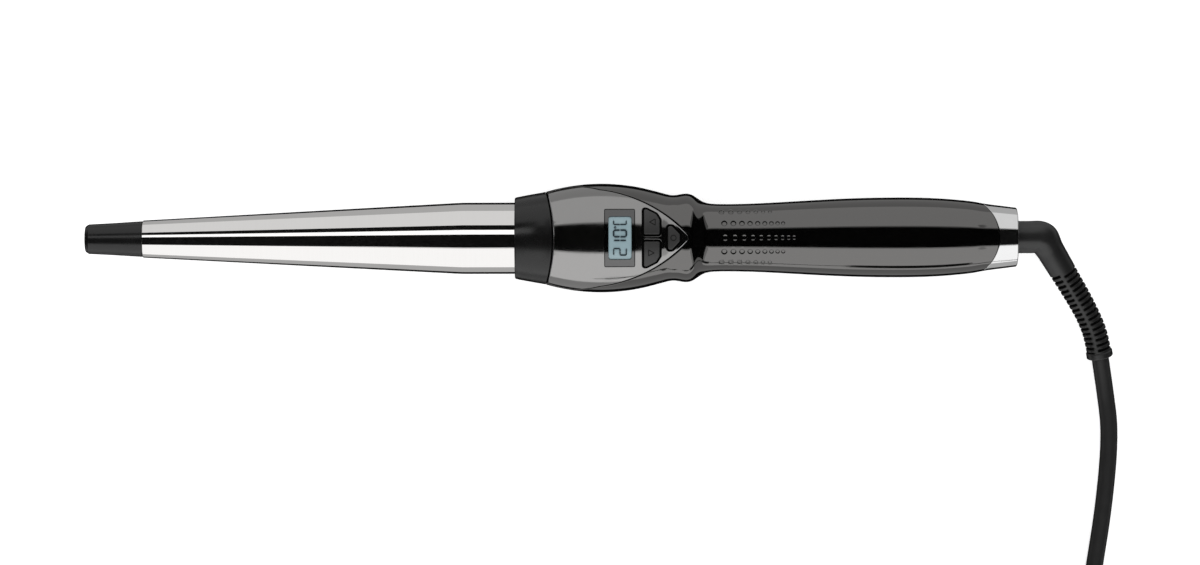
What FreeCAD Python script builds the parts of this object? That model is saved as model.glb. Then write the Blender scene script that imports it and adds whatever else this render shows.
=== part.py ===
import FreeCAD, Part
import math
import os
import Sketcher

# Curling wand: tapered barrel, head with display and three keys, handle, and a lead that swivels.
# Lengths are in millimetres. X runs along the wand from its cool tip (-X) to its lead (+X), and +Z is
# the side of the keys. Sizes below are measured from the wand's own axis, which the last step lifts
# to its height above the table. The lead and its plug are measured from the table.

os.makedirs("parts", exist_ok=True)
doc = FreeCAD.newDocument("curling_wand")
sheet = doc.addObject("Spreadsheet::Sheet", "dims")
sub_parts = {}
own_heights = {}


class Size:
    """A length that knows its value and the sheet expression it comes from."""

    def __init__(self, value, text):
        self.value = value
        self.text = text

    def __add__(self, other):
        other = as_size(other)
        return Size(self.value + other.value, f"({self.text} + {other.text})")

    def __radd__(self, other):
        return as_size(other) + self

    def __sub__(self, other):
        other = as_size(other)
        return Size(self.value - other.value, f"({self.text} - {other.text})")

    def __rsub__(self, other):
        return as_size(other) - self

    def __mul__(self, factor):
        return Size(self.value * factor, f"({self.text} * {factor})")

    def __neg__(self):
        return Size(-self.value, f"(0 - {self.text})")


def as_size(number):
    return number if isinstance(number, Size) else Size(float(number), f"{float(number)}")


def dim(alias, value):
    """Put one driving dimension in the sheet and give it back as a Size."""
    row = len(sheet_rows) + 1
    sheet_rows.append(alias)
    sheet.set(f"A{row}", alias)
    sheet.set(f"B{row}", str(value))
    sheet.setAlias(f"B{row}", alias)
    return Size(float(value), f"dims.{alias}")


sheet_rows = []

# ---- driving dimensions ------------------------------------------------------------------------

axis_height = dim("axis_height", 17)
slack = dim("slack", 0.1)
half_space = dim("half_space", 30)
overall_x = dim("overall_x", 170)

# barrel and cool tip
tip_front_x = dim("tip_front_x", -163.5)
tip_shoulder_x = dim("tip_shoulder_x", -162.2)
tip_face_radius = dim("tip_face_radius", 3.9)
tip_nose_radius = dim("tip_nose_radius", 5.2)
tip_edge_radius = dim("tip_edge_radius", 1.9)
tip_rear_radius = dim("tip_rear_radius", 6.25)
tip_spigot_radius = dim("tip_spigot_radius", 5.3)
tip_spigot_x = dim("tip_spigot_x", -138)
tip_hole_x = dim("tip_hole_x", -152)
barrel_front_x = dim("barrel_front_x", -143.3)
barrel_taper_x = dim("barrel_taper_x", -31.4)
barrel_rear_x = dim("barrel_rear_x", -2.1)
barrel_front_radius = dim("barrel_front_radius", 6.5)
barrel_radius = dim("barrel_radius", 12.5)
barrel_wall = dim("barrel_wall", 1.0)
barrel_screw_x = dim("barrel_screw_x", -6)
tip_plug_radius = dim("tip_plug_radius", 5.7)
tip_plug_length = dim("tip_plug_length", 8)
tip_screw_radius = dim("tip_screw_radius", 1.0)
tip_screw_head_radius = dim("tip_screw_head_radius", 2.2)
tip_screw_head_length = dim("tip_screw_head_length", 1.5)
tip_screw_length = dim("tip_screw_length", 20)
small_screw_radius = dim("small_screw_radius", 1.0)
small_screw_head_radius = dim("small_screw_head_radius", 1.6)
small_screw_head_height = dim("small_screw_head_height", 0.7)
small_screw_depth = dim("small_screw_depth", 3.6)
screw_gap = dim("screw_gap", 0.05)

# heater inside the barrel
spreader_front_x = dim("spreader_front_x", -122)
spreader_rear_x = dim("spreader_rear_x", -26)
spreader_front_radius = dim("spreader_front_radius", 6.45)
spreader_rear_radius = dim("spreader_rear_radius", 11.3)
slot_top = dim("slot_top", 2.4)
slot_bottom = dim("slot_bottom", 3.2)
sleeve_length = dim("sleeve_length", 94)
sleeve_width = dim("sleeve_width", 10.4)
sleeve_height = dim("sleeve_height", 4.6)
sleeve_wall = dim("sleeve_wall", 0.3)
electrode_height = dim("electrode_height", 0.6)
electrode_tail = dim("electrode_tail", 5)
stone_length = dim("stone_length", 20)
stone_pitch = dim("stone_pitch", 23)
stone_count = 4
spring_thickness = dim("spring_thickness", 0.25)
spring_width = dim("spring_width", 7)
sensor_radius = dim("sensor_radius", 1.0)
sensor_bore_radius = dim("sensor_bore_radius", 1.2)
sensor_length = dim("sensor_length", 8)
sensor_depth = dim("sensor_depth", 14)
sensor_height = dim("sensor_height", 6.2)

# collar and barrel mount
collar_front_x = dim("collar_front_x", -12.8)
collar_bore_radius = dim("collar_bore_radius", 12.8)
collar_relief_radius = dim("collar_relief_radius", 13.35)
collar_seat_radius = dim("collar_seat_radius", 13.7)
collar_relief_x = dim("collar_relief_x", -9.6)
collar_seat_x = dim("collar_seat_x", -2.05)
collar_face_radius = dim("collar_face_radius", 13.75)
collar_edge_radius = dim("collar_edge_radius", 14.25)
collar_edge = dim("collar_edge", 0.45)
collar_rear_radius = dim("collar_rear_radius", 16.95)
collar_rear_x = dim("collar_rear_x", 1.0)
collar_bulge_radius = dim("collar_bulge_radius", 70)
spigot_radius = dim("spigot_radius", 14.1)
spigot_lip_radius = dim("spigot_lip_radius", 14.6)
spigot_lip_x = dim("spigot_lip_x", 2.55)
spigot_rear_x = dim("spigot_rear_x", 4.0)
mount_radius = dim("mount_radius", 13.55)
mount_plug_radius = dim("mount_plug_radius", 11.45)
mount_front_x = dim("mount_front_x", -10)
mount_flange_x = dim("mount_flange_x", -2.0)
mount_hole_radius = dim("mount_hole_radius", 7.6)
seam_gap = dim("seam_gap", 0.1)
front_seam_x = dim("front_seam_x", 0.4)
front_seam_radius = dim("front_seam_radius", 58.8)
front_seam_half = dim("front_seam_half", 20)

# head and handle shells
shell_front_x = dim("shell_front_x", -3.4)
bulb_x = dim("bulb_x", 17.5)
bulb_radius = dim("bulb_radius", 19.05)
bulb_arc_radius = dim("bulb_arc_radius", 69)
bulb_rear_x = dim("bulb_rear_x", 40.5)
neck_arc_radius = dim("neck_arc_radius", 19)
ridge_x = dim("ridge_x", 47.8)
ridge_radius = dim("ridge_radius", 15.55)
ridge_end_x = dim("ridge_end_x", 50.9)
ridge_end_radius = dim("ridge_end_radius", 14.1)
ridge_arc_radius = dim("ridge_arc_radius", 4)
saddle_x = dim("saddle_x", 55)
saddle_radius = dim("saddle_radius", 12.1)
saddle_arc_radius = dim("saddle_arc_radius", 6.5)
waist_x = dim("waist_x", 74)
waist_radius = dim("waist_radius", 12.1)
waist_arc_radius = dim("waist_arc_radius", 150)
grip_x = dim("grip_x", 95)
grip_radius = dim("grip_radius", 13.25)
grip_end_x = dim("grip_end_x", 147)
grip_end_radius = dim("grip_end_radius", 12.7)
grip_arc_radius = dim("grip_arc_radius", 345)
handle_end_x = dim("handle_end_x", 157)
handle_lip_x = dim("handle_lip_x", 150.6)
handle_lip_radius = dim("handle_lip_radius", 12.0)
handle_end_radius = dim("handle_end_radius", 11.3)
ridge_wall_extra = dim("ridge_wall_extra", 0.2)
grip_bend_length = dim("grip_bend_length", 26)
grip_bend_wall = dim("grip_bend_wall", 1.3)
shell_wall = dim("shell_wall", 1.8)
tail_spigot_x = dim("tail_spigot_x", 143)
tail_spigot_end_x = dim("tail_spigot_end_x", 160.5)
tail_spigot_radius = dim("tail_spigot_radius", 9.8)
tail_bore_radius = dim("tail_bore_radius", 8.6)
shell_rib_radius = dim("shell_rib_radius", 12)
shell_rib_x = dim("shell_rib_x", 4.1)
shell_rib_end_x = dim("shell_rib_end_x", 5.6)
shell_key_radius = dim("shell_key_radius", 14.25)
shell_key_x = dim("shell_key_x", 0.8)
shell_key_end_x = dim("shell_key_end_x", 2.4)
shell_throat_radius = dim("shell_throat_radius", 14.7)
boss_radius = dim("boss_radius", 2.6)
head_boss_reach = dim("head_boss_reach", 13)
head_boss_x = dim("head_boss_x", 20)
head_boss_y = dim("head_boss_y", 14)
front_grip_boss_x = dim("front_grip_boss_x", 74)
rear_grip_boss_x = dim("rear_grip_boss_x", 118)
shell_screw_radius = dim("shell_screw_radius", 1.0)
shell_screw_head_radius = dim("shell_screw_head_radius", 2.0)
shell_screw_head_height = dim("shell_screw_head_height", 1.6)
shell_screw_seat = dim("shell_screw_seat", 8.2)
shell_screw_reach = dim("shell_screw_reach", 5)
shell_screw_well = dim("shell_screw_well", 2.2)

# inlay panel, display and keys
panel_thickness = dim("panel_thickness", 1.0)
panel_front_x = dim("panel_front_x", -4)
panel_front_y = dim("panel_front_y", 14.6)
panel_side_x = dim("panel_side_x", 16.9)
panel_side_y = dim("panel_side_y", 17.1)
panel_side_radius = dim("panel_side_radius", 29)
panel_flank_radius = dim("panel_flank_radius", 50)
panel_nose_x = dim("panel_nose_x", 46.8)
panel_nose_y = dim("panel_nose_y", 1.9)
panel_nose_radius = dim("panel_nose_radius", 2.4)
panel_base_z = dim("panel_base_z", 2)
window_x = dim("window_x", 23.9)
window_length = dim("window_length", 10.6)
window_width = dim("window_width", 20.0)
glass_length = dim("glass_length", 9.2)
glass_width = dim("glass_width", 16.8)
glass_top = dim("glass_top", 14.7)
glass_height = dim("glass_height", 1.6)
backlight_length = dim("backlight_length", 6.8)
backlight_bottom = dim("backlight_bottom", 10.6)
contact_strip_length = dim("contact_strip_length", 0.8)
key_base_z = dim("key_base_z", 12.75)
key_rise = dim("key_rise", 0.3)
key_gap = dim("key_gap", 0.25)
key_front_x = dim("key_front_x", 31.7)
key_rear_x = dim("key_rear_x", 38.0)
key_inner_y = dim("key_inner_y", 1.25)
key_outer_y = dim("key_outer_y", 10.1)
key_slant_x = dim("key_slant_x", 32.9)
key_corner_x = dim("key_corner_x", 37.2)
key_corner_y = dim("key_corner_y", 7.3)
key_edge_y = dim("key_edge_y", 5.2)
power_front_x = dim("power_front_x", 39.9)
power_mid_x = dim("power_mid_x", 41.3)
power_rear_x = dim("power_rear_x", 44.7)
power_half_y = dim("power_half_y", 4.2)
power_nose_y = dim("power_nose_y", 1.5)
lip_overhang = dim("lip_overhang", 0.4)
lip_bottom = dim("lip_bottom", 12.4)
lip_outer_y = dim("lip_outer_y", 4.8)
power_lip_y = dim("power_lip_y", 3.2)
key_switch_x = dim("key_switch_x", 34.9)
key_switch_y = dim("key_switch_y", 5.2)
power_switch_x = dim("power_switch_x", 42.3)
switch_side = dim("switch_side", 4.2)
switch_height = dim("switch_height", 1.2)
plunger_radius = dim("plunger_radius", 1.0)
plunger_bottom = dim("plunger_bottom", 11.2)
switch_well_radius = dim("switch_well_radius", 1.45)
switch_mouth_radius = dim("switch_mouth_radius", 1.15)
switch_lid = dim("switch_lid", 0.25)

# control board
board_top = dim("board_top", 10.6)
board_thickness = dim("board_thickness", 1.6)
board_front_x = dim("board_front_x", 7)
board_shoulder_x = dim("board_shoulder_x", 29)
board_rear_x = dim("board_rear_x", 47)
board_front_y = dim("board_front_y", 11.3)
board_rear_y = dim("board_rear_y", 5.6)
board_screw_x = dim("board_screw_x", 10)
board_screw_y = dim("board_screw_y", 8.8)
board_boss_radius = dim("board_boss_radius", 2.2)
board_screw_head_radius = dim("board_screw_head_radius", 1.9)
board_screw_head_height = dim("board_screw_head_height", 1.2)
board_screw_radius = dim("board_screw_radius", 0.9)
board_screw_reach = dim("board_screw_reach", 2.4)
fuse_radius = dim("fuse_radius", 1.9)
fuse_length = dim("fuse_length", 10)
wire_radius = dim("wire_radius", 0.7)
thin_wire_radius = dim("thin_wire_radius", 0.4)

# swivel in the end of the handle
ring_front_x = dim("ring_front_x", 150)
ring_front_radius = dim("ring_front_radius", 11.95)
ring_rear_radius = dim("ring_rear_radius", 10.35)
ring_rear_x = dim("ring_rear_x", 163.2)
ring_bore_radius = dim("ring_bore_radius", 9.9)
ring_edge = dim("ring_edge", 0.8)
ring_lip_height = dim("ring_lip_height", 0.6)
ring_lip_length = dim("ring_lip_length", 1.4)
rear_seam_x = dim("rear_seam_x", 156.4)
rear_seam_radius = dim("rear_seam_radius", 16.2)
rear_seam_half = dim("rear_seam_half", 12.4)
housing_front_x = dim("housing_front_x", 141)
housing_radius = dim("housing_radius", 8.55)
housing_flange_radius = dim("housing_flange_radius", 9.7)
housing_flange_x = dim("housing_flange_x", 160.6)
housing_cavity_radius = dim("housing_cavity_radius", 7.3)
housing_wall_x = dim("housing_wall_x", 150)
rotor_radius = dim("rotor_radius", 5.5)
rotor_clearance = dim("rotor_clearance", 0.06)
rotor_head_radius = dim("rotor_head_radius", 6.9)
rotor_head_x = dim("rotor_head_x", 146)
rotor_head_end_x = dim("rotor_head_end_x", 149.7)
rotor_rear_x = dim("rotor_rear_x", 163.5)
rotor_core_radius = dim("rotor_core_radius", 2.6)
rotor_core_x = dim("rotor_core_x", 128)
slip_ring_radius = dim("slip_ring_radius", 3.4)
slip_ring_length = dim("slip_ring_length", 3.5)
live_ring_x = dim("live_ring_x", 130)
neutral_ring_x = dim("neutral_ring_x", 136.5)
brush_gap = dim("brush_gap", 0.1)
brush_thickness = dim("brush_thickness", 0.3)
brush_inset = dim("brush_inset", 0.5)
brush_post_inset = dim("brush_post_inset", 0.2)
brush_length = dim("brush_length", 6)
brush_holder_y = dim("brush_holder_y", 8.5)
brush_holder_height = dim("brush_holder_height", 5)

# lead, boot, coil and plug
boot_stub_radius = dim("boot_stub_radius", 5.65)
boot_stub_end_x = dim("boot_stub_end_x", 170.2)
boot_radius = dim("boot_radius", 4.4)
boot_droop = dim("boot_droop", 13.8)
cord_radius = dim("cord_radius", 3.05)
coil_x = dim("coil_x", 146.5)
coil_y = dim("coil_y", -171)
coil_inner_radius = dim("coil_inner_radius", 21)
coil_outer_radius = dim("coil_outer_radius", 45.3)
coil_bottom = dim("coil_bottom", 0.8)
coil_height = dim("coil_height", 24.3)
coil_round = dim("coil_round", 2.8)
tie_thickness = dim("tie_thickness", 0.7)
tie_width = dim("tie_width", 10)
tie_inner_x = dim("tie_inner_x", 20.2)
tie_height = dim("tie_height", 26)
plug_axis_y = dim("plug_axis_y", -213)
plug_front_x = dim("plug_front_x", 24)
plug_side_x = dim("plug_side_x", 33)
plug_rear_x = dim("plug_rear_x", 60)
plug_relief_x = dim("plug_relief_x", 80)
plug_half_width = dim("plug_half_width", 17.65)
plug_rear_half_width = dim("plug_rear_half_width", 6.5)
plug_height = dim("plug_height", 13.7)
plug_edge = dim("plug_edge", 2.2)
plug_relief_radius = dim("plug_relief_radius", 5.2)
plug_relief_end_radius = dim("plug_relief_end_radius", 3.9)
pin_spacing = dim("pin_spacing", 18.6)
pin_radius = dim("pin_radius", 2.0)
pin_core_radius = dim("pin_core_radius", 1.4)
pin_sleeve_radius = dim("pin_sleeve_radius", 1.75)
pin_length = dim("pin_length", 19)
pin_sleeve_length = dim("pin_sleeve_length", 10)
pin_edge = dim("pin_edge", 0.8)
pin_root = dim("pin_root", 5)


# ---- building blocks ---------------------------------------------------------------------------


def bind(item, path, size):
    item.setExpression(path, as_size(size).text)


def value_of(coordinate):
    return as_size(coordinate).value


def flat_point(corner):
    return FreeCAD.Vector(value_of(corner[0]), value_of(corner[1]), 0)


def arc_between(start, end, radius, turn):
    """Short arc from start to end: turn +1 keeps its centre on the left, -1 on the right."""
    chord = end - start
    half = chord.Length / 2
    rise = math.sqrt(radius * radius - half * half)
    left = FreeCAD.Vector(-chord.y, chord.x, 0).normalize()
    centre = (start + end) * 0.5 + left * (rise * turn)
    first, last = (start, end) if turn > 0 else (end, start)
    angles = [math.atan2(p.y - centre.y, p.x - centre.x) for p in (first, last)]
    circle = Part.Circle(centre, FreeCAD.Vector(0, 0, 1), radius)
    return Part.ArcOfCircle(circle, angles[0], angles[1])


def hold_corner(sketch, side, end, direction, coordinate):
    """Fix one coordinate of a side's end to its size, or to the axis when it is zero."""
    if not isinstance(coordinate, Size) and coordinate == 0:
        axis = -2 if direction == "DistanceX" else -1
        sketch.addConstraint(Sketcher.Constraint("PointOnObject", side, end, axis))
        return
    place = sketch.addConstraint(
        Sketcher.Constraint(direction, -1, 1, side, end, value_of(coordinate)))
    if isinstance(coordinate, Size):
        sketch.setExpression(f"Constraints[{place}]", coordinate.text)


def draw_outline(sketch, corners, arcs=None):
    """Draw a closed outline; arcs gives the radius and turn of the sides that are round."""
    arcs = arcs or {}
    ends = []
    for side, corner in enumerate(corners):
        start = flat_point(corner)
        end = flat_point(corners[(side + 1) % len(corners)])
        if side in arcs:
            radius, turn = arcs[side]
            sketch.addGeometry(arc_between(start, end, value_of(radius), turn))
            place = sketch.addConstraint(Sketcher.Constraint("Radius", side, value_of(radius)))
            sketch.setExpression(f"Constraints[{place}]", as_size(radius).text)
            ends.append((1, 2) if turn > 0 else (2, 1))
        else:
            sketch.addGeometry(Part.LineSegment(start, end))
            ends.append((1, 2))
    for side, corner in enumerate(corners):
        before = side - 1 if side else len(corners) - 1
        sketch.addConstraint(
            Sketcher.Constraint("Coincident", before, ends[before][1], side, ends[side][0]))
        hold_corner(sketch, side, ends[side][0], "DistanceX", corner[0])
        hold_corner(sketch, side, ends[side][0], "DistanceY", corner[1])


def body_plane(body, role):
    for feature in body.Origin.OriginFeatures:
        if feature.Role == role:
            return feature
    raise ValueError(f"no origin plane {role}")


def body_sketch(body, name, plane, corners, arcs=None, offset=0):
    sketch = body.newObject("Sketcher::SketchObject", name)
    sketch.AttachmentSupport = [(body_plane(body, plane), "")]
    sketch.MapMode = "FlatFace"
    bind(sketch, "AttachmentOffset.Base.z", offset)
    draw_outline(sketch, corners, arcs)
    return sketch


def turned_body(name, corners, arcs=None):
    """PartDesign body turned about the wand's X axis; corners are (x, radius)."""
    body = doc.addObject("PartDesign::Body", name)
    sketch = body_sketch(body, name + "_profile", "XZ_Plane", corners, arcs)
    feature = body.newObject("PartDesign::Revolution", name + "_turned")
    feature.Profile = sketch
    feature.ReferenceAxis = (sketch, ["H_Axis"])
    feature.Angle = 360
    return body


def padded_body(name, corners, bottom, height, arcs=None):
    """PartDesign body padded upwards from an outline in plan."""
    body = doc.addObject("PartDesign::Body", name)
    sketch = body_sketch(body, name + "_outline", "XY_Plane", corners, arcs, bottom)
    feature = body.newObject("PartDesign::Pad", name + "_pad")
    feature.Profile = sketch
    bind(feature, "Length", height)
    return body


def rectangle(low_x, high_x, low_y, high_y):
    return [(low_x, low_y), (high_x, low_y), (high_x, high_y), (low_x, high_y)]


def block_body(name, low_x, high_x, low_y, high_y, bottom, height):
    return padded_body(name, rectangle(low_x, high_x, low_y, high_y), bottom, height)


def free_sketch(name, corners, arcs, upright):
    sketch = doc.addObject("Sketcher::SketchObject", name)
    if upright:
        sketch.Placement.Rotation = FreeCAD.Rotation(FreeCAD.Vector(1, 0, 0), 90)
    draw_outline(sketch, corners, arcs)
    return sketch


def turned(name, corners, arcs=None):
    """Solid of revolution about the wand's X axis, for use in booleans."""
    shape = doc.addObject("Part::Revolution", name)
    shape.Source = free_sketch(name + "_profile", corners, arcs, True)
    shape.Axis = FreeCAD.Vector(1, 0, 0)
    shape.Angle = 360
    shape.Solid = True
    return shape


def prism(name, corners, bottom, height, arcs=None):
    """Upright prism over an outline in plan, for use in booleans."""
    sketch = free_sketch(name + "_outline", corners, arcs, False)
    bind(sketch, "Placement.Base.z", bottom)
    shape = doc.addObject("Part::Extrusion", name)
    shape.Base = sketch
    shape.DirMode = "Custom"
    shape.Dir = FreeCAD.Vector(0, 0, 1)
    bind(shape, "LengthFwd", height)
    shape.Solid = True
    return shape


def block(name, low_x, high_x, low_y, high_y, low_z, high_z):
    shape = doc.addObject("Part::Box", name)
    bind(shape, "Length", as_size(high_x) - low_x)
    bind(shape, "Width", as_size(high_y) - low_y)
    bind(shape, "Height", as_size(high_z) - low_z)
    bind(shape, "Placement.Base.x", low_x)
    bind(shape, "Placement.Base.y", low_y)
    bind(shape, "Placement.Base.z", low_z)
    own_heights[shape.Name] = as_size(low_z)
    return shape


def rod(name, radius, length, start, axis="Z"):
    """Cylinder from start along an axis."""
    shape = doc.addObject("Part::Cylinder", name)
    bind(shape, "Radius", radius)
    bind(shape, "Height", length)
    if axis == "X":
        shape.Placement.Rotation = FreeCAD.Rotation(FreeCAD.Vector(0, 1, 0), 90)
    for letter, coordinate in zip("xyz", start):
        bind(shape, f"Placement.Base.{letter}", coordinate)
    own_heights[shape.Name] = as_size(start[2])
    return shape


def spoke(name, radius, inner, outer, x, angle):
    """Cylinder that stands out from the wand's X axis at an angle."""
    shape = doc.addObject("Part::Cylinder", name)
    turn = FreeCAD.Rotation(FreeCAD.Vector(1, 0, 0), angle)
    shape.Placement.Rotation = turn
    bind(shape, "Radius", radius)
    bind(shape, "Height", as_size(outer) - inner)
    reach = turn.multVec(FreeCAD.Vector(0, 0, 1))
    bind(shape, "Placement.Base.x", x)
    bind(shape, "Placement.Base.y", as_size(inner) * reach.y)
    bind(shape, "Placement.Base.z", as_size(inner) * reach.z)
    return shape


def cut(name, base, tool):
    shape = doc.addObject("Part::Cut", name)
    shape.Base = base
    shape.Tool = tool
    return shape


def common(name, base, tool):
    shape = doc.addObject("Part::Common", name)
    shape.Base = base
    shape.Tool = tool
    return shape


def fuse(name, shapes):
    shape = doc.addObject("Part::MultiFuse", name)
    shape.Shapes = shapes
    return shape


def keep(label, item, height=axis_height):
    """Name a finished sub-part and lift it, with any height of its own, above the table."""
    item.Label = label
    bind(item, "Placement.Base.z", height + own_heights.get(item.Name, 0))
    sub_parts[label] = item


def rounded_path(points):
    """Wire of straight runs joined by tangent arcs, and the arcs' radii."""
    points = [FreeCAD.Vector(*p) for p in points]
    edges = []
    radii = []
    at = points[0]
    for before, corner, after in zip(points, points[1:], points[2:]):
        back = before - corner
        ahead = after - corner
        reach = 0.45 * min(back.Length, ahead.Length)
        turn = math.pi - back.getAngle(ahead)
        radii.append(reach / math.tan(turn / 2))
        back.normalize()
        ahead.normalize()
        start = corner + back * reach
        end = corner + ahead * reach
        half = (back + ahead).normalize()
        middle_distance = math.hypot(radii[-1], reach) - radii[-1]
        middle = corner + half * middle_distance
        edges.append(Part.LineSegment(at, start).toShape())
        edges.append(Part.Arc(start, middle, end).toShape())
        at = end
    edges.append(Part.LineSegment(at, points[-1]).toShape())
    return Part.Wire(edges), radii


def swept_tube(points, radius):
    """Round solid along a route, with the route's length and radii."""
    path, radii = rounded_path(points)
    start = FreeCAD.Vector(*points[0])
    direction = FreeCAD.Vector(*points[1]) - start
    ring = Part.Wire(Part.Circle(start, direction, radius).toShape())
    solid = path.makePipeShell([ring], True, False)
    ideal = path.Length * math.pi * radius * radius
    if not solid.isValid() or abs(solid.Volume / ideal - 1) > 0.01:
        raise ValueError(f"tube volume {solid.Volume:.1f} is not {ideal:.1f}")
    return solid, path.Length, radii


def tube(label, points, radius, height):
    """Wire or cord of one radius along a route of hand-chosen points."""
    solid, length, radii = swept_tube(points, radius.value)
    item = doc.addObject("Part::Feature", label)
    item.Shape = solid
    item.Placement = FreeCAD.Placement()
    keep(label, item, height)
    print(label, "length", round(length, 1), "radii", [round(r, 1) for r in radii])


# ---- barrel, cool tip and heater ---------------------------------------------------------------


def make_barrel():
    inner_front = barrel_front_radius - barrel_wall
    inner = barrel_radius - barrel_wall
    tube_body = turned_body("barrel_tube", [
        (barrel_front_x, barrel_front_radius), (barrel_taper_x, barrel_radius),
        (barrel_rear_x, barrel_radius), (barrel_rear_x, inner),
        (barrel_taper_x, inner), (barrel_front_x, inner_front)])
    holes = fuse("barrel_screw_holes", [
        spoke(f"barrel_hole_{angle}", small_screw_radius + screw_gap, 8, 15, barrel_screw_x, angle)
        for angle in (90, 210, 330)])
    keep("barrel", cut("barrel_drilled", tube_body, holes))

    mount_body = turned_body("mount_turned", [
        (mount_front_x, mount_hole_radius), (spigot_rear_x, mount_hole_radius),
        (spigot_rear_x, mount_radius), (mount_flange_x, mount_radius),
        (mount_flange_x, mount_plug_radius), (mount_front_x, mount_plug_radius)])
    keep("barrel_mount", cut("mount_drilled", mount_body, holes))

    screws = []
    for angle in (90, 210, 330):
        shank_start = barrel_radius - small_screw_depth
        head_end = barrel_radius + small_screw_head_height
        screws.append(spoke(f"barrel_shank_{angle}", small_screw_radius, shank_start,
                            barrel_radius + 0.2, barrel_screw_x, angle))
        screws.append(spoke(f"barrel_head_{angle}", small_screw_head_radius,
                            barrel_radius + 0.02, head_end, barrel_screw_x, angle))
    keep("barrel_screws", fuse("barrel_screw_set", screws))


def make_cool_tip():
    keep("cool_tip", turned_body("tip_turned", [
        (tip_front_x, 0), (tip_front_x, tip_face_radius), (tip_shoulder_x, tip_nose_radius),
        (barrel_front_x - slack, tip_rear_radius), (barrel_front_x - slack, tip_spigot_radius),
        (tip_spigot_x, tip_spigot_radius), (tip_spigot_x, tip_screw_radius + screw_gap),
        (tip_hole_x, tip_screw_radius + screw_gap), (tip_hole_x, 0)],
        {1: (tip_edge_radius, -1)}))
    plug_front = tip_spigot_x + slack
    plug_rear = plug_front + tip_plug_length
    hole = tip_screw_radius + screw_gap
    keep("tip_plug", turned_body("tip_plug_turned", [
        (plug_front, hole), (plug_front, tip_plug_radius),
        (plug_rear, tip_plug_radius), (plug_rear, hole)]))
    head_front = plug_rear + slack
    head_rear = head_front + tip_screw_head_length
    shank_front = head_front - tip_screw_length
    keep("tip_screw", turned_body("tip_screw_turned", [
        (shank_front, 0), (shank_front, tip_screw_radius), (head_front, tip_screw_radius),
        (head_front, tip_screw_head_radius), (head_rear, tip_screw_head_radius), (head_rear, 0)]))


def make_heater():
    core = turned("spreader_core", [
        (spreader_front_x, 0), (spreader_front_x, spreader_front_radius),
        (barrel_taper_x, spreader_rear_radius), (spreader_rear_x, spreader_rear_radius),
        (spreader_rear_x, 0)])
    reach = half_space
    upper_space = block("spreader_upper_space", -overall_x, 0, -reach, reach, slot_top, reach)
    lower_space = block("spreader_lower_space", -overall_x, 0, -reach, reach, -reach, -slot_bottom)
    sensor_end = spreader_rear_x - sensor_depth
    sensor_bore = rod("sensor_bore", sensor_bore_radius, sensor_depth + 1,
                      (sensor_end, 0, sensor_height), "X")
    upper_half = common("spreader_upper_half", core, upper_space)
    keep("heat_spreader_upper", cut("spreader_bored", upper_half, sensor_bore))
    keep("heat_spreader_lower", common("spreader_lower_half", core, lower_space))

    front = spreader_front_x + 1
    rear = front + sleeve_length
    half_width = sleeve_width * 0.5
    bottom = slot_top - slack * 0.5 - sleeve_height
    inside = half_width - sleeve_wall
    outer = block("sleeve_outer", front, rear, -half_width, half_width,
                  bottom, bottom + sleeve_height)
    inner_top = bottom + sleeve_height - sleeve_wall
    inner = block("sleeve_inner", front - 1, rear + 1, -inside, inside,
                  bottom + sleeve_wall, inner_top)
    keep("heater_sleeve", cut("sleeve_hollow", outer, inner))

    plate_half = inside - slack
    low_plate = bottom + sleeve_wall + slack * 0.5
    high_plate = inner_top - slack * 0.5 - electrode_height
    for label, level in (("electrode_lower", low_plate), ("electrode_upper", high_plate)):
        keep(label, block_body(label + "_plate", front + 1, rear + electrode_tail,
                               -plate_half, plate_half, level, electrode_height))
    stone_bottom = low_plate + electrode_height
    stones = []
    for number in range(stone_count):
        stone_front = front + 2 + stone_pitch * number
        stones.append(block(f"stone_{number}", stone_front, stone_front + stone_length,
                            -plate_half, plate_half, stone_bottom, high_plate))
    keep("ptc_stones", fuse("stone_row", stones))

    spring_low = -slot_bottom
    spring_high = bottom - spring_thickness
    quarter = sleeve_length * 0.25
    spring_front = front + 4
    crests = [(spring_front + quarter * step, spring_high if step % 2 else spring_low)
              for step in range(4)]
    under_side = [(x, z) for x, z in crests]
    upper_side = [(x, z + spring_thickness) for x, z in reversed(crests)]
    strip = doc.addObject("PartDesign::Body", "spring_strip")
    sketch = body_sketch(strip, "spring_profile", "XZ_Plane", under_side + upper_side)
    pad = strip.newObject("PartDesign::Pad", "spring_pad")
    pad.Profile = sketch
    bind(pad, "Length", spring_width)
    pad.SideType = "Symmetric"
    keep("heater_spring", strip)

    bead_front = spreader_rear_x - sensor_depth + 1
    keep("temperature_sensor", rod("sensor_bead", sensor_radius, sensor_length,
                                   (bead_front, 0, sensor_height), "X"))


# ---- collar, shells and panel ------------------------------------------------------------------


def front_seam_region(name, low_x, gap, behind):
    """Plan region in front of or behind the curved seam between collar and head."""
    sag = front_seam_radius.value - math.sqrt(
        front_seam_radius.value ** 2 - front_seam_half.value ** 2)
    edge = front_seam_x - sag + gap
    if behind:
        corners = rectangle(edge, low_x, -front_seam_half, front_seam_half)
        arcs = {3: (front_seam_radius, -1)}
    else:
        corners = rectangle(low_x, edge, -front_seam_half, front_seam_half)
        arcs = {1: (front_seam_radius, 1)}
    return prism(name, corners, -half_space, half_space * 2, arcs)


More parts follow.
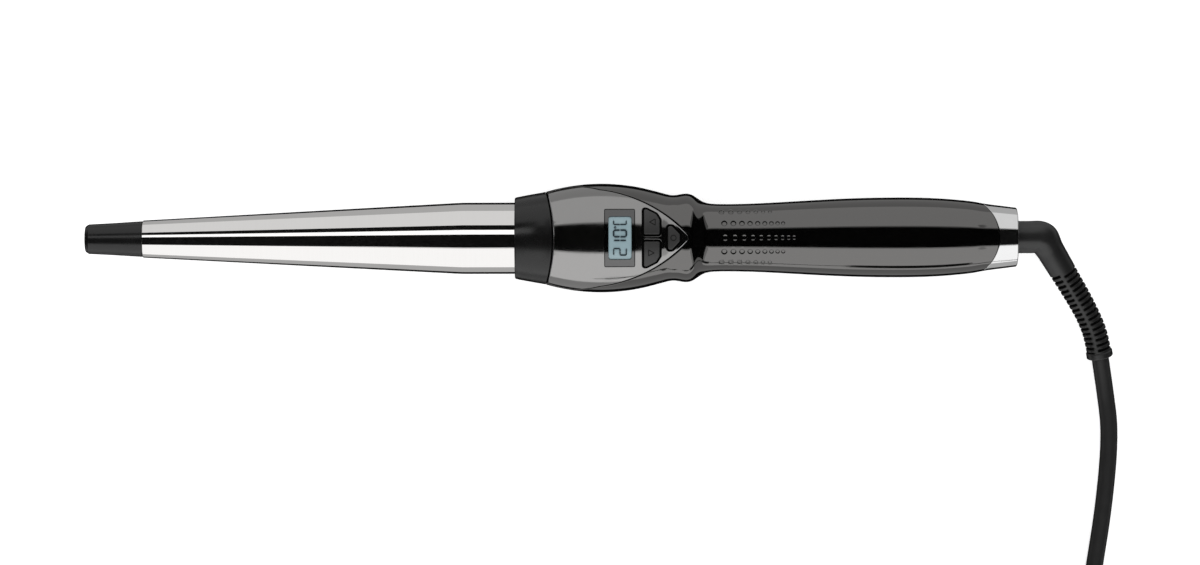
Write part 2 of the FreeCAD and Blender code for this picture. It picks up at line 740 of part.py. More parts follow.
def make_collar():
    skirt = turned("collar_skirt", [
        (collar_front_x, collar_bore_radius), (collar_front_x, collar_face_radius),
        (collar_front_x + collar_edge, collar_edge_radius), (collar_rear_x, collar_rear_radius),
        (collar_rear_x, collar_seat_radius), (collar_seat_x, collar_seat_radius),
        (collar_seat_x, collar_relief_radius), (collar_relief_x, collar_relief_radius),
        (collar_relief_x, collar_bore_radius)], {2: (collar_bulge_radius, -1)})
    trimmed = cut("collar_trimmed", skirt, front_seam_region("collar_seam", overall_x, 0, True))
    spigot = turned("collar_spigot", [
        (collar_seat_x - 2, collar_seat_radius), (spigot_rear_x, collar_seat_radius),
        (spigot_rear_x, spigot_lip_radius), (spigot_lip_x, spigot_lip_radius),
        (spigot_lip_x, spigot_radius), (collar_seat_x - 2, spigot_radius)])
    keep("collar", fuse("collar_whole", [trimmed, spigot]))


def make_outer_form():
    """The outer form of head and handle, flat underneath so that the wand lies still."""
    front_radius = bulb_height(shell_front_x.value, bulb_arc_radius.value)
    bulb_rear_radius = bulb_height(bulb_rear_x.value, bulb_arc_radius.value)
    form = turned("outer_turned", [
        (shell_front_x, 0), (shell_front_x, front_radius), (bulb_rear_x, bulb_rear_radius),
        (ridge_x, ridge_radius), (ridge_end_x, ridge_end_radius), (saddle_x, saddle_radius),
        (waist_x, waist_radius), (grip_x, grip_radius), (grip_end_x, grip_end_radius),
        (handle_lip_x, handle_lip_radius), (handle_end_x, handle_end_radius),
        (handle_end_x, 0)],
        {1: (bulb_arc_radius, -1), 2: (neck_arc_radius, 1), 3: (ridge_arc_radius, -1),
         4: (saddle_arc_radius, 1), 5: (waist_arc_radius, 1), 7: (grip_arc_radius, -1)})
    ground = block("under_ground", -half_space, overall_x, -half_space, half_space,
                   -half_space, -axis_height)
    return cut("outer_form", form, ground)


def bulb_height(x, arc_radius):
    """Radius of the bulb's arc at x; a smaller arc radius gives a form further in."""
    centre = bulb_radius.value - bulb_arc_radius.value
    return centre + math.sqrt(arc_radius ** 2 - (x - bulb_x.value) ** 2)


def make_cavity():
    bulb_inner = bulb_arc_radius - shell_wall
    front = bulb_height(shell_rib_end_x.value, bulb_inner.value)
    rear = bulb_height(bulb_rear_x.value, bulb_inner.value)
    space = turned("cavity_turned", [
        (shell_front_x - 1, 0), (shell_front_x - 1, shell_throat_radius),
        (shell_key_x, shell_throat_radius), (shell_key_x, shell_key_radius),
        (shell_key_end_x, shell_key_radius), (shell_key_end_x, shell_throat_radius),
        (shell_rib_x, shell_throat_radius), (shell_rib_x, shell_rib_radius),
        (shell_rib_end_x, shell_rib_radius), (shell_rib_end_x, front),
        (bulb_rear_x, rear), (ridge_x, ridge_radius - shell_wall - ridge_wall_extra),
        (saddle_x, saddle_radius - shell_wall), (waist_x, waist_radius - shell_wall),
        (grip_x, grip_radius - shell_wall), (grip_end_x - grip_bend_length, grip_radius - grip_bend_wall),
        (tail_spigot_x, grip_end_radius - shell_wall), (tail_spigot_x, tail_bore_radius),
        (overall_x, tail_bore_radius), (overall_x, 0)], {9: (bulb_inner, -1)})
    floor = block("cavity_floor", -half_space, overall_x, -half_space, half_space,
                  -half_space, -axis_height + shell_wall)
    return cut("cavity", space, floor)


def boss_places():
    """Place of each shell screw and how far its boss reaches up and down into the walls."""
    return [(head_boss_x, head_boss_y, head_boss_reach),
            (head_boss_x, -head_boss_y, head_boss_reach),
            (front_grip_boss_x, as_size(0), waist_radius - shell_wall * 0.5),
            (rear_grip_boss_x, as_size(0), grip_radius - shell_wall * 0.5)]


def key_outline(side, gap):
    """Plan outline of the up key (side +1) or down key (side -1), grown by a gap."""
    points = [(key_front_x - gap, key_inner_y - gap), (key_rear_x + gap, key_inner_y - gap),
              (key_rear_x + gap, key_edge_y), (key_corner_x + gap, key_corner_y + gap),
              (key_slant_x + gap, key_outer_y + gap), (key_front_x - gap, key_outer_y + gap)]
    if side < 0:
        points = [(x, -y) for x, y in reversed(points)]
    return points


def power_outline(gap):
    return [(power_front_x - gap, -power_half_y - gap), (power_mid_x, -power_half_y - gap),
            (power_rear_x + gap, -power_nose_y - gap), (power_rear_x + gap, power_nose_y + gap),
            (power_mid_x, power_half_y + gap), (power_front_x - gap, power_half_y + gap)]


def panel_outline(gap):
    """Shield outline of the inlay panel, drawn in by a gap from its recess."""
    corners = [(panel_front_x, -panel_front_y + gap), (panel_side_x, -panel_side_y + gap),
               (panel_nose_x - gap, -panel_nose_y), (panel_nose_x - gap, panel_nose_y),
               (panel_side_x, panel_side_y - gap), (panel_front_x, panel_front_y - gap)]
    arcs = {0: (panel_side_radius, 1), 1: (panel_flank_radius, 1), 2: (panel_nose_radius, 1),
            3: (panel_flank_radius, 1), 4: (panel_side_radius, 1)}
    return corners, arcs


def make_shells(outer):
    cavity = make_cavity()
    edge = rear_seam_x.value - rear_seam_radius.value + math.sqrt(
        rear_seam_radius.value ** 2 - rear_seam_half.value ** 2)
    beyond = prism("beyond_ring_seam",
                   rectangle(Size(edge, f"{edge}"), overall_x, -rear_seam_half, rear_seam_half),
                   -half_space, half_space * 2, {3: (rear_seam_radius, -1)})
    ahead = front_seam_region("ahead_of_seam", -half_space, seam_gap, False)
    trimmed = cut("outer_trimmed", cut("outer_front", outer, ahead), beyond)
    tail = rod("tail_spigot", tail_spigot_radius, tail_spigot_end_x - tail_spigot_x,
               (tail_spigot_x, 0, 0), "X")
    hollow = cut("shell_hollow", fuse("outer_with_tail", [trimmed, tail]), cavity)

    above = block("above_split", -half_space, overall_x, -half_space, half_space, 0, half_space)
    upper = common("shell_upper_half", hollow, above)
    lower = cut("shell_lower_half", hollow, above)

    upper_bosses = []
    lower_bosses = []
    wells = []
    pilots = []
    for number, (x, y, reach) in enumerate(boss_places()):
        lower_bosses.append(rod(f"lower_boss_{number}", boss_radius, reach, (x, y, -reach)))
        upper_bosses.append(rod(f"upper_boss_{number}", boss_radius, reach, (x, y, 0)))
        wells.append(rod(f"well_{number}", shell_screw_well, axis_height + 1 - shell_screw_seat,
                         (x, y, -axis_height - 1)))
        wells.append(rod(f"shank_hole_{number}", shell_screw_radius + slack,
                         shell_screw_seat + 1, (x, y, -shell_screw_seat - 1)))
        pilots.append(rod(f"pilot_{number}", shell_screw_radius + screw_gap,
                          shell_screw_reach + 0.5, (x, y, 0)))
    lower_in = common("lower_bosses_in", fuse("lower_bosses", lower_bosses), outer)
    below = block("below_split", -half_space, overall_x, -half_space, half_space,
                  -half_space, 0)
    lower_in = common("lower_bosses_below", lower_in, below)
    lower_full = fuse("lower_with_bosses", [lower, lower_in])
    keep("lower_shell", cut("lower_bored", lower_full, fuse("screw_wells", wells)))

    for side in (1, -1):
        post = rod(f"board_post_{side}", board_boss_radius, 6,
                   (board_screw_x, board_screw_y * side, board_top))
        upper_bosses.append(post)
        pilots.append(rod(f"board_pilot_{side}", board_screw_radius + screw_gap,
                          board_screw_reach + 0.5,
                          (board_screw_x, board_screw_y * side, board_top - 0.1)))
    upper_in = common("upper_bosses_in", fuse("upper_bosses", upper_bosses), outer)
    upper_full = fuse("upper_with_bosses", [upper, upper_in])

    under_panel = turned("under_panel", *under_panel_profile(panel_thickness + screw_gap))
    corners, arcs = panel_outline(as_size(0))
    recess_space = prism("recess_space", corners, panel_base_z, half_space, arcs)
    recess = cut("recess", recess_space, under_panel)
    openings = [recess, fuse("pilots", pilots)]
    openings.append(window_block("shell_window", 0.4, backlight_bottom))
    openings += [prism(f"shell_key_hole_{side}", key_outline(side, key_gap),
                       board_top + 1, half_space) for side in (1, -1)]
    openings.append(prism("shell_power_hole", power_outline(key_gap), board_top + 1, half_space))
    keep("upper_shell", cut("upper_opened", upper_full, fuse("upper_openings", openings)))

    screws = []
    seat = -shell_screw_seat
    for number, (x, y, reach) in enumerate(boss_places()):
        screws.append(rod(f"shell_screw_head_{number}", shell_screw_head_radius,
                          shell_screw_head_height, (x, y, seat - shell_screw_head_height)))
        screws.append(rod(f"shell_screw_shank_{number}", shell_screw_radius,
                          shell_screw_seat + shell_screw_reach + 0.1, (x, y, seat - 0.1)))
    keep("shell_screws", fuse("shell_screw_set", screws))
    return ahead


def under_panel_profile(depth):
    """Profile of the bulb's form, further in than the outer form by a depth."""
    inner = bulb_arc_radius - depth
    front = bulb_height(shell_front_x.value - 2, inner.value)
    rear = bulb_height(bulb_rear_x.value, inner.value)
    corners = [(shell_front_x - 2, 0), (shell_front_x - 2, front), (bulb_rear_x, rear),
               (ridge_x, ridge_radius - depth), (ridge_x + 2, ridge_radius - depth),
               (ridge_x + 2, 0)]
    return corners, {1: (inner, -1), 2: (neck_arc_radius + depth, 1)}


def window_block(name, inset, bottom):
    half_length = window_length * 0.5 - inset
    half_width = window_width * 0.5 - inset * 2
    return block(name, window_x - half_length, window_x + half_length,
                 -half_width, half_width, bottom, half_space)


def make_panel(outer, ahead):
    corners, arcs = panel_outline(slack)
    plate = prism("panel_space", corners, panel_base_z, half_space, arcs)
    skin = cut("panel_skin", outer, turned("under_skin", *under_panel_profile(panel_thickness)))
    shaped = common("panel_shaped", skin, plate)
    openings = [ahead, window_block("panel_window", 0, panel_base_z)]
    openings += [prism(f"panel_key_hole_{side}", key_outline(side, key_gap),
                       board_top, half_space) for side in (1, -1)]
    openings.append(prism("panel_power_hole", power_outline(key_gap), board_top, half_space))
    keep("top_panel", cut("panel_opened", shaped, fuse("panel_openings", openings)))
    keep("display_window", common("window_plate", skin,
                                  window_block("window_space", slack, panel_base_z)))


# ---- display, keys and board -------------------------------------------------------------------


def make_display():
    half_length = glass_length * 0.5
    half_width = glass_width * 0.5
    front = window_x - half_length
    rear = window_x + half_length
    bottom = glass_top - glass_height
    keep("display_glass", block_body("glass_plate", front, rear, -half_width, half_width,
                                     bottom, glass_height))
    light_half = backlight_length * 0.5
    height = glass_top - glass_height - backlight_bottom - slack
    keep("display_backlight", block_body("light_guide", window_x - light_half,
                                         window_x + light_half, -half_width, half_width,
                                         backlight_bottom, height))
    strips = [block("contact_strip_front", front, front + contact_strip_length,
                    -half_width, half_width, backlight_bottom, bottom),
              block("contact_strip_rear", rear - contact_strip_length, rear,
                    -half_width, half_width, backlight_bottom, bottom)]
    keep("display_contact_strips", fuse("contact_strips", strips))


def make_key(label, outline, lip, switch_x, switch_y):
    """A key with its retaining lip, and the switch, plunger and dome under it."""
    raised = turned(label + "_form", *under_panel_profile(-key_rise))
    cap = common(label + "_cap", prism(label + "_space", outline, key_base_z, half_space), raised)
    lip_plate = block(label + "_lip", *lip, lip_bottom, key_base_z + slack)
    keep(label, fuse(label + "_whole", [cap, lip_plate]))

    half = switch_side * 0.5
    case = block(label + "_case", switch_x - half, switch_x + half, switch_y - half,
                 switch_y + half, board_top, board_top + switch_height)
    well_height = switch_height - switch_lid - 0.1
    well = rod(label + "_well", switch_well_radius, well_height,
               (switch_x, switch_y, board_top + 0.1))
    mouth = rod(label + "_mouth", switch_mouth_radius, switch_height,
                (switch_x, switch_y, board_top + 0.2))
    keep(label + "_switch", cut(label + "_case_open", case, fuse(label + "_bore", [well, mouth])))
    keep(label + "_plunger", rod(label + "_pin", plunger_radius, lip_bottom - plunger_bottom,
                                 (switch_x, switch_y, plunger_bottom)))


def make_keys():
    lip_low = key_inner_y + 0.2
    for label, side in (("up_key", 1), ("down_key", -1)):
        low_y, high_y = (lip_low, lip_outer_y) if side > 0 else (-lip_outer_y, -lip_low)
        lip = (key_front_x - lip_overhang, key_rear_x + lip_overhang, low_y, high_y)
        make_key(label, key_outline(side, as_size(0)), lip, key_switch_x, key_switch_y * side)
    lip = (power_front_x - lip_overhang, power_rear_x + lip_overhang, -power_lip_y, power_lip_y)
    make_key("power_key", power_outline(as_size(0)), lip, power_switch_x, as_size(0))


def make_board():
    bottom = board_top - board_thickness
    outline = [(board_front_x, -board_front_y), (board_shoulder_x, -board_front_y),
               (board_rear_x, -board_rear_y), (board_rear_x, board_rear_y),
               (board_shoulder_x, board_front_y), (board_front_x, board_front_y)]
    plate = prism("board_plate", outline, bottom, board_thickness)
    holes = fuse("board_holes", [
        rod(f"board_hole_{side}", board_screw_radius + slack, board_thickness + 2,
            (board_screw_x, board_screw_y * side, bottom - 1)) for side in (1, -1)])
    keep("control_board", cut("board_drilled", plate, holes))
    screws = []
    for side in (1, -1):
        y = board_screw_y * side
        screws.append(rod(f"board_screw_head_{side}", board_screw_head_radius,
                          board_screw_head_height, (board_screw_x, y, bottom - board_screw_head_height)))
        screws.append(rod(f"board_screw_shank_{side}", board_screw_radius,
                          board_thickness + board_screw_reach + 0.1,
                          (board_screw_x, y, bottom - 0.1)))
    keep("board_screws", fuse("board_screw_set", screws))

    hung = [("triac", 13.5, 23.5, -9.5, -5.0, 9.0), ("filter_capacitor", 14, 27, 2.0, 8.0, 9.5),
            ("controller_chip", 30, 36, -3, 3, 1.2)]
    for label, low_x, high_x, low_y, high_y, drop in hung:
        keep(label, block_body(label + "_case", low_x, high_x, low_y, high_y,
                               bottom - drop, drop))
    can = rod("capacitor_can", 2.9, 8, (39.5, 0, bottom - 8))
    keep("supply_capacitor", can)


# ---- swivel ------------------------------------------------------------------------------------


def make_ring():
    edge = rear_seam_x.value - rear_seam_radius.value + math.sqrt(
        rear_seam_radius.value ** 2 - rear_seam_half.value ** 2) + seam_gap.value
    form = turned("ring_turned", [
        (ring_front_x, ring_bore_radius), (ring_front_x, ring_front_radius),
        (ring_rear_x - ring_edge, ring_rear_radius), (ring_rear_x, ring_rear_radius - ring_edge),
        (ring_rear_x, ring_bore_radius - ring_lip_height),
        (ring_rear_x - ring_lip_length, ring_bore_radius - ring_lip_height),
        (ring_rear_x - ring_lip_length, ring_bore_radius)],
        {2: (ring_edge, -1)})
    ahead = prism("ahead_of_ring",
                  rectangle(Size(0, "0"), Size(edge, f"{edge}"), -rear_seam_half, rear_seam_half),
                  -half_space, half_space * 2, {1: (rear_seam_radius, 1)})
    keep("end_ring", cut("ring_trimmed", form, ahead))


def make_swivel():
    bore = rotor_radius + rotor_clearance
    flange_end = ring_rear_x - slack
    neck_radius = ring_bore_radius - ring_lip_height - slack
    neck_x = ring_rear_x - ring_lip_length - slack
    keep("swivel_housing", turned_body("housing_turned", [
        (housing_front_x, housing_cavity_radius), (housing_wall_x, housing_cavity_radius),
        (housing_wall_x, bore), (flange_end, bore), (flange_end, neck_radius),
        (neck_x, neck_radius), (neck_x, housing_flange_radius),
        (housing_flange_x, housing_flange_radius), (housing_flange_x, housing_radius),
        (housing_front_x, housing_radius)]))
    keep("swivel_rotor", turned_body("rotor_turned", [
        (rotor_core_x, 0), (rotor_core_x, rotor_core_radius), (rotor_head_x, rotor_core_radius),
        (rotor_head_x, rotor_head_radius), (rotor_head_end_x, rotor_head_radius),
        (rotor_head_end_x, rotor_radius), (rotor_rear_x, rotor_radius), (rotor_rear_x, 0)]))
    for label, front in (("slip_ring_live", live_ring_x), ("slip_ring_neutral", neutral_ring_x)):
        keep(label, turned_body(label + "_turned", [
            (front, rotor_core_radius), (front + slip_ring_length, rotor_core_radius),
            (front + slip_ring_length, slip_ring_radius), (front, slip_ring_radius)]))


def make_brushes():
    """Leaf brushes that bear on the slip rings, each on a post of the brush holder."""
    posts = []
    for side, label, ring_x in ((1, "brush_live", live_ring_x),
                                (-1, "brush_neutral", neutral_ring_x)):
        near = slip_ring_radius + brush_gap
        far = near + brush_thickness
        low_y, high_y = (near, far) if side > 0 else (-far, -near)
        keep(label, block_body(label + "_blade", ring_x + brush_inset,
                               ring_x + slip_ring_length - brush_inset,
                               low_y, high_y, -brush_length * 0.5, brush_length))
        low_y, high_y = (far, brush_holder_y) if side > 0 else (-brush_holder_y, -far)
        posts.append(block(label + "_post", ring_x + brush_post_inset,
                           ring_x + slip_ring_length - brush_post_inset,
                           low_y, high_y, -brush_holder_height * 0.5, brush_holder_height * 0.5))
    keep("brush_holders", fuse("brush_posts", posts))


def make_wires():
    """Leads inside the wand; each route leaves its terminal straight."""
    live = [(-22, -3.2, 1.7), (-15, -3.4, 1.6), (-6, -4.2, 0.1), (1, -5.0, -2.1), (5, -5.9, -3.5),
            (8.4, -6.5, -4.0)]
    neutral = [(-22, 3.2, -1.6), (-14, 3.3, -1.7), (-4, 4.4, -2.2), (5, 6.0, -1.8),
               (11.0, 9.2, 1.5), (13.0, 10.2, 5.5), (13.3, 10.4, 8.95)]
    keep_wire("heater_lead_live", live, wire_radius)
    keep_wire("heater_lead_neutral", neutral, wire_radius)
    sensor = [(-30.9, 0, 6.2), (-24, 0.1, 6.1), (-12, 0.2, 5.2), (0, 0.3, 4.4),
              (9, 0.4, 5.6), (12.4, 0.4, 7.6), (12.6, 0.4, 8.95)]
    keep_wire("sensor_lead", sensor, thin_wire_radius)
    for label, side, ring_x in (("supply_lead_live", 1, live_ring_x),
                                ("supply_lead_neutral", -1, neutral_ring_x)):
        start = ring_x.value + 0.2
        y = 7.0 * side
        route = [(start, y, 0.6), (start - 8, y, 0.7), (start - 24, 6.4 * side, 1.2),
                 (start - 46, 6.0 * side, 0.4), (64, 5.6 * side, 0.9), (50, 5.4 * side, 2.6),
                 (44.6, 5.2 * side, 5.6), (44.2, 5.1 * side, 8.95)]
        keep_wire(label, route, wire_radius)


def keep_wire(label, points, radius):
    lifted = [FreeCAD.Vector(x, y, z) for x, y, z in points]
    tube(label, lifted, radius, axis_height)


def make_fuse():
    keep("thermal_fuse", rod("fuse_case", fuse_radius, fuse_length, (8.65, -6.6, -4.05), "X"))


# ---- lead --------------------------------------------------------------------------------------

BOOT_ROUTE = [(163.5, 0), (171.8, 0), (187.2, 23.8), (192.4, 36.6), (193.6, 43.7)]

CORD_ROUTE = [(193.6, -42.44, 6.58), (195.78, -54.94, 3.51), (197.6, -70.0, 3.05),
              (195.2, -96.0, 3.05), (191.0, -121.0, 3.05), (188.8, -142.0, 3.3),
              (188.45, -158.0, 3.8)]

TAIL_ROUTE = [(133.0, -213.2, 21.9), (121.0, -213.6, 20.6), (108.0, -213.4, 15.2),
              (95.0, -213.1, 9.0), (84.0, -212.9, 6.9), (78.0, -213.0, 6.85)]


def make_boot():
    """Strain relief: a stub on the rotor, then an arm that bends away and droops to the table."""
    droop = math.radians(boot_droop.value)
    points = [(x, -side * math.cos(droop), -side * math.sin(droop)) for x, side in BOOT_ROUTE]
    solid, length, radii = swept_tube(points, boot_radius.value)
    print("boot length", round(length, 1), "radii", [round(r, 1) for r in radii])
    start = FreeCAD.Vector(rotor_rear_x.value, 0, 0)
    along = FreeCAD.Vector(1, 0, 0)
    stub_length = boot_stub_end_x.value - rotor_rear_x.value
    stub = Part.makeCylinder(boot_stub_radius.value, stub_length, start, along)
    knee = Part.makeSphere(boot_stub_radius.value, start + along * stub_length)
    item = doc.addObject("Part::Feature", "boot")
    item.Shape = stub.fuse([knee, solid]).removeSplitter()
    item.Placement = FreeCAD.Placement()
    keep("boot", item)


def make_coil():
    body = doc.addObject("PartDesign::Body", "coil_body")
    section = rectangle(coil_inner_radius, coil_outer_radius, coil_bottom,
                        coil_bottom + coil_height)
    sketch = body_sketch(body, "coil_section", "XZ_Plane", section)
    ring = body.newObject("PartDesign::Revolution", "coil_turned")
    ring.Profile = sketch
    ring.ReferenceAxis = (sketch, ["V_Axis"])
    ring.Angle = 360
    doc.recompute()
    soft = body.newObject("PartDesign::Fillet", "coil_soft_edges")
    edges = [f"Edge{number + 1}" for number, edge in enumerate(ring.Shape.Edges)
             if len(edge.Vertexes) == 1 or edge.isClosed()]
    soft.Base = (ring, edges)
    bind(soft, "Radius", coil_round)
    body.Tip = soft
    bind(body, "Placement.Base.x", coil_x)
    bind(body, "Placement.Base.y", coil_y)
    keep("cord_coil", body, as_size(0))

    inner = coil_x - tie_inner_x
    outer = coil_x - coil_outer_radius - slack
    half = tie_width * 0.5
    band = block("tie_band", outer - tie_thickness, inner + tie_thickness,
                 coil_y - half, coil_y + half, 0, tie_height)
    hole = block("tie_hole", outer, inner, coil_y - half - 1, coil_y + half + 1,
                 tie_thickness, tie_height - tie_thickness)
    keep("cord_tie", cut("tie_loop", band, hole), as_size(0))


def make_plug():
    body = padded_body("plug_block", [
        (plug_front_x, plug_axis_y - plug_half_width), (plug_side_x, plug_axis_y - plug_half_width),
        (plug_rear_x, plug_axis_y - plug_rear_half_width),
        (plug_rear_x, plug_axis_y + plug_rear_half_width),
        (plug_side_x, plug_axis_y + plug_half_width), (plug_front_x, plug_axis_y + plug_half_width)],
        0, plug_height)
    doc.recompute()
    pad = body.Tip
    upright = [f"Edge{number + 1}" for number, edge in enumerate(pad.Shape.Edges)
               if abs(edge.Vertexes[0].Z - edge.Vertexes[-1].Z) > plug_height.value / 2]
    soft = body.newObject("PartDesign::Fillet", "plug_soft_edges")
    soft.Base = (pad, upright)
    bind(soft, "Radius", plug_edge)
    body.Tip = soft
    middle = plug_height * 0.5
    relief = doc.addObject("Part::Cone", "plug_relief")
    relief.Placement.Rotation = FreeCAD.Rotation(FreeCAD.Vector(0, 1, 0), 90)
    bind(relief, "Radius1", plug_relief_radius)
    bind(relief, "Radius2", plug_relief_end_radius)
    bind(relief, "Height", plug_relief_x - plug_rear_x + 1)
    bind(relief, "Placement.Base.x", plug_rear_x - 1)
    bind(relief, "Placement.Base.y", plug_axis_y)
    bind(relief, "Placement.Base.z", middle)
    cord_seat = rod("plug_cord_seat", cord_radius, 2.5, (plug_relief_x - 2, plug_axis_y, middle), "X")
    roots = []
    for side in (1, -1):
        y = plug_axis_y + pin_spacing * (0.5 * side)
        roots.append(rod(f"pin_root_{side}", pin_core_radius, pin_root,
                         (plug_front_x, y, middle), "X"))
    whole = fuse("plug_whole", [body, relief])
    keep("plug_body", cut("plug_moulded", whole, fuse("plug_seats", roots + [cord_seat])),
         as_size(0))

    pins = []
    sleeves = []
    for side in (1, -1):
        y = plug_axis_y + pin_spacing * (0.5 * side)
        tip_x = plug_front_x - pin_length
        sleeve_x = plug_front_x - pin_sleeve_length
        pins.append(rod(f"pin_core_{side}", pin_core_radius, pin_sleeve_length + pin_root,
                        (sleeve_x, y, middle), "X"))
        pins.append(rod(f"pin_shaft_{side}", pin_radius,
                        pin_length - pin_sleeve_length - pin_edge,
                        (tip_x + pin_edge, y, middle), "X"))
        nose = doc.addObject("Part::Cone", f"pin_nose_{side}")
        nose.Placement.Rotation = FreeCAD.Rotation(FreeCAD.Vector(0, 1, 0), 90)
        bind(nose, "Radius1", pin_radius - pin_edge)
        bind(nose, "Radius2", pin_radius)
        bind(nose, "Height", pin_edge)
        bind(nose, "Placement.Base.x", tip_x)
        bind(nose, "Placement.Base.y", y)
        bind(nose, "Placement.Base.z", middle)
        pins.append(nose)
        outer = rod(f"sleeve_outer_{side}", pin_sleeve_radius, pin_sleeve_length,
                    (sleeve_x, y, middle), "X")
        inner = rod(f"sleeve_bore_{side}", pin_core_radius, pin_sleeve_length + 1,
                    (sleeve_x - 0.5, y, middle), "X")
        sleeves.append(cut(f"pin_sleeve_{side}", outer, inner))
    keep("plug_pins", fuse("pin_pair", pins), as_size(0))
    keep("pin_sleeves", fuse("sleeve_pair", sleeves), as_size(0))


# ---- assembly ----------------------------------------------------------------------------------


def write_sub_parts():
    doc.recompute()
    for item in doc.Objects:
        if "Invalid" in item.State or "Error" in item.State:
            raise ValueError(f"{item.Label} is {item.State}")
    for label, item in sub_parts.items():
        if item.Shape.isNull() or not item.Shape.isValid():
            raise ValueError(f"{label} has no valid shape")
    for label, item in sub_parts.items():
        item.Shape.exportStep(f"parts/{label}.step")
    print(len(sub_parts), "sub-parts")


make_barrel()
make_cool_tip()
make_heater()
make_collar()
outer_form = make_outer_form()
ahead_region = make_shells(outer_form)
make_panel(outer_form, ahead_region)
make_display()
make_keys()
make_board()
make_fuse()
make_wires()
make_ring()
make_swivel()
make_brushes()
make_boot()
tube("cord_tube", CORD_ROUTE, cord_radius, as_size(0))
tube("cord_tail", TAIL_ROUTE, cord_radius, as_size(0))
make_coil()
make_plug()
write_sub_parts()
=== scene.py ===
import math

import bpy
import numpy as np
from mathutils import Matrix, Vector
from mathutils.geometry import delaunay_2d_cdt


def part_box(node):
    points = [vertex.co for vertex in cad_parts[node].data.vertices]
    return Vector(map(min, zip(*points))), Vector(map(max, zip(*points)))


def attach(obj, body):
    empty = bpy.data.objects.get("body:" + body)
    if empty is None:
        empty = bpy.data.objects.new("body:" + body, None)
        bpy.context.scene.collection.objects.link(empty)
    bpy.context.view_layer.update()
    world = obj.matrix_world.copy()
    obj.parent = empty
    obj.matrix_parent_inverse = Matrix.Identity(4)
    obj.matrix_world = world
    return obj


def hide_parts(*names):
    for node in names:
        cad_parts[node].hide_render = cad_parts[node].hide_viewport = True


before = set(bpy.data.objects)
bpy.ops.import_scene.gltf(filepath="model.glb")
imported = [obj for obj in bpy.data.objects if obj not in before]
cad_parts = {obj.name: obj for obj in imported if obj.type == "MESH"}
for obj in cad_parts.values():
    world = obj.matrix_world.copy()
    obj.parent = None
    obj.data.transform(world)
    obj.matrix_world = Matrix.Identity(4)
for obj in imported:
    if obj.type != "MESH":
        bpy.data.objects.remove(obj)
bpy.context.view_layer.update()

# Curling wand. Shapes are worked out in millimetres in the CAD frame. Form.piece and the curves scale
# them to metres. Lights, cards and the floor are in metres.
MM = 0.001
WAND = "wand"
LEAD = "cord_swivel_body"
AROUND = 160


def box_mm(node):
    low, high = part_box(node)
    return [v / MM for v in low], [v / MM for v in high]


# ---- places read from the frame ----
rotor_low, rotor_high = box_mm("swivel_rotor")
AXIS = 0.5 * (rotor_low[2] + rotor_high[2])
tip_x = box_mm("cool_tip")[0][0]
barrel_low, barrel_high = box_mm("barrel")
collar_x = box_mm("collar")[0][0]
ring_x = box_mm("end_ring")[1][0]
tie_low, tie_high = box_mm("cord_tie")
plug_low, plug_high = box_mm("plug_body")
pins_low, pins_high = box_mm("plug_pins")


# ---- camera ----
VIEW_HEIGHT = 1600.0    # of the camera above the wand's axis
VIEW_WIDE = 421.2       # what the picture's width spans at the axis
VIEW_LOW = 15.6         # how far the picture's middle is below the axis
VIEW_X = 17.06
SENSOR = 36
camera_data = bpy.data.cameras.new("camera")
camera_data.sensor_width = SENSOR
camera_data.lens = SENSOR * VIEW_HEIGHT / VIEW_WIDE
camera_data.shift_y = -VIEW_LOW / VIEW_WIDE
camera_data.clip_end = 20
camera = bpy.data.objects.new("camera", camera_data)
camera.location = (VIEW_X * MM, 0, (AXIS + VIEW_HEIGHT) * MM)
camera.rotation_euler = (0, 0, math.radians(-0.13))
bpy.context.collection.objects.link(camera)
bpy.context.scene.camera = camera


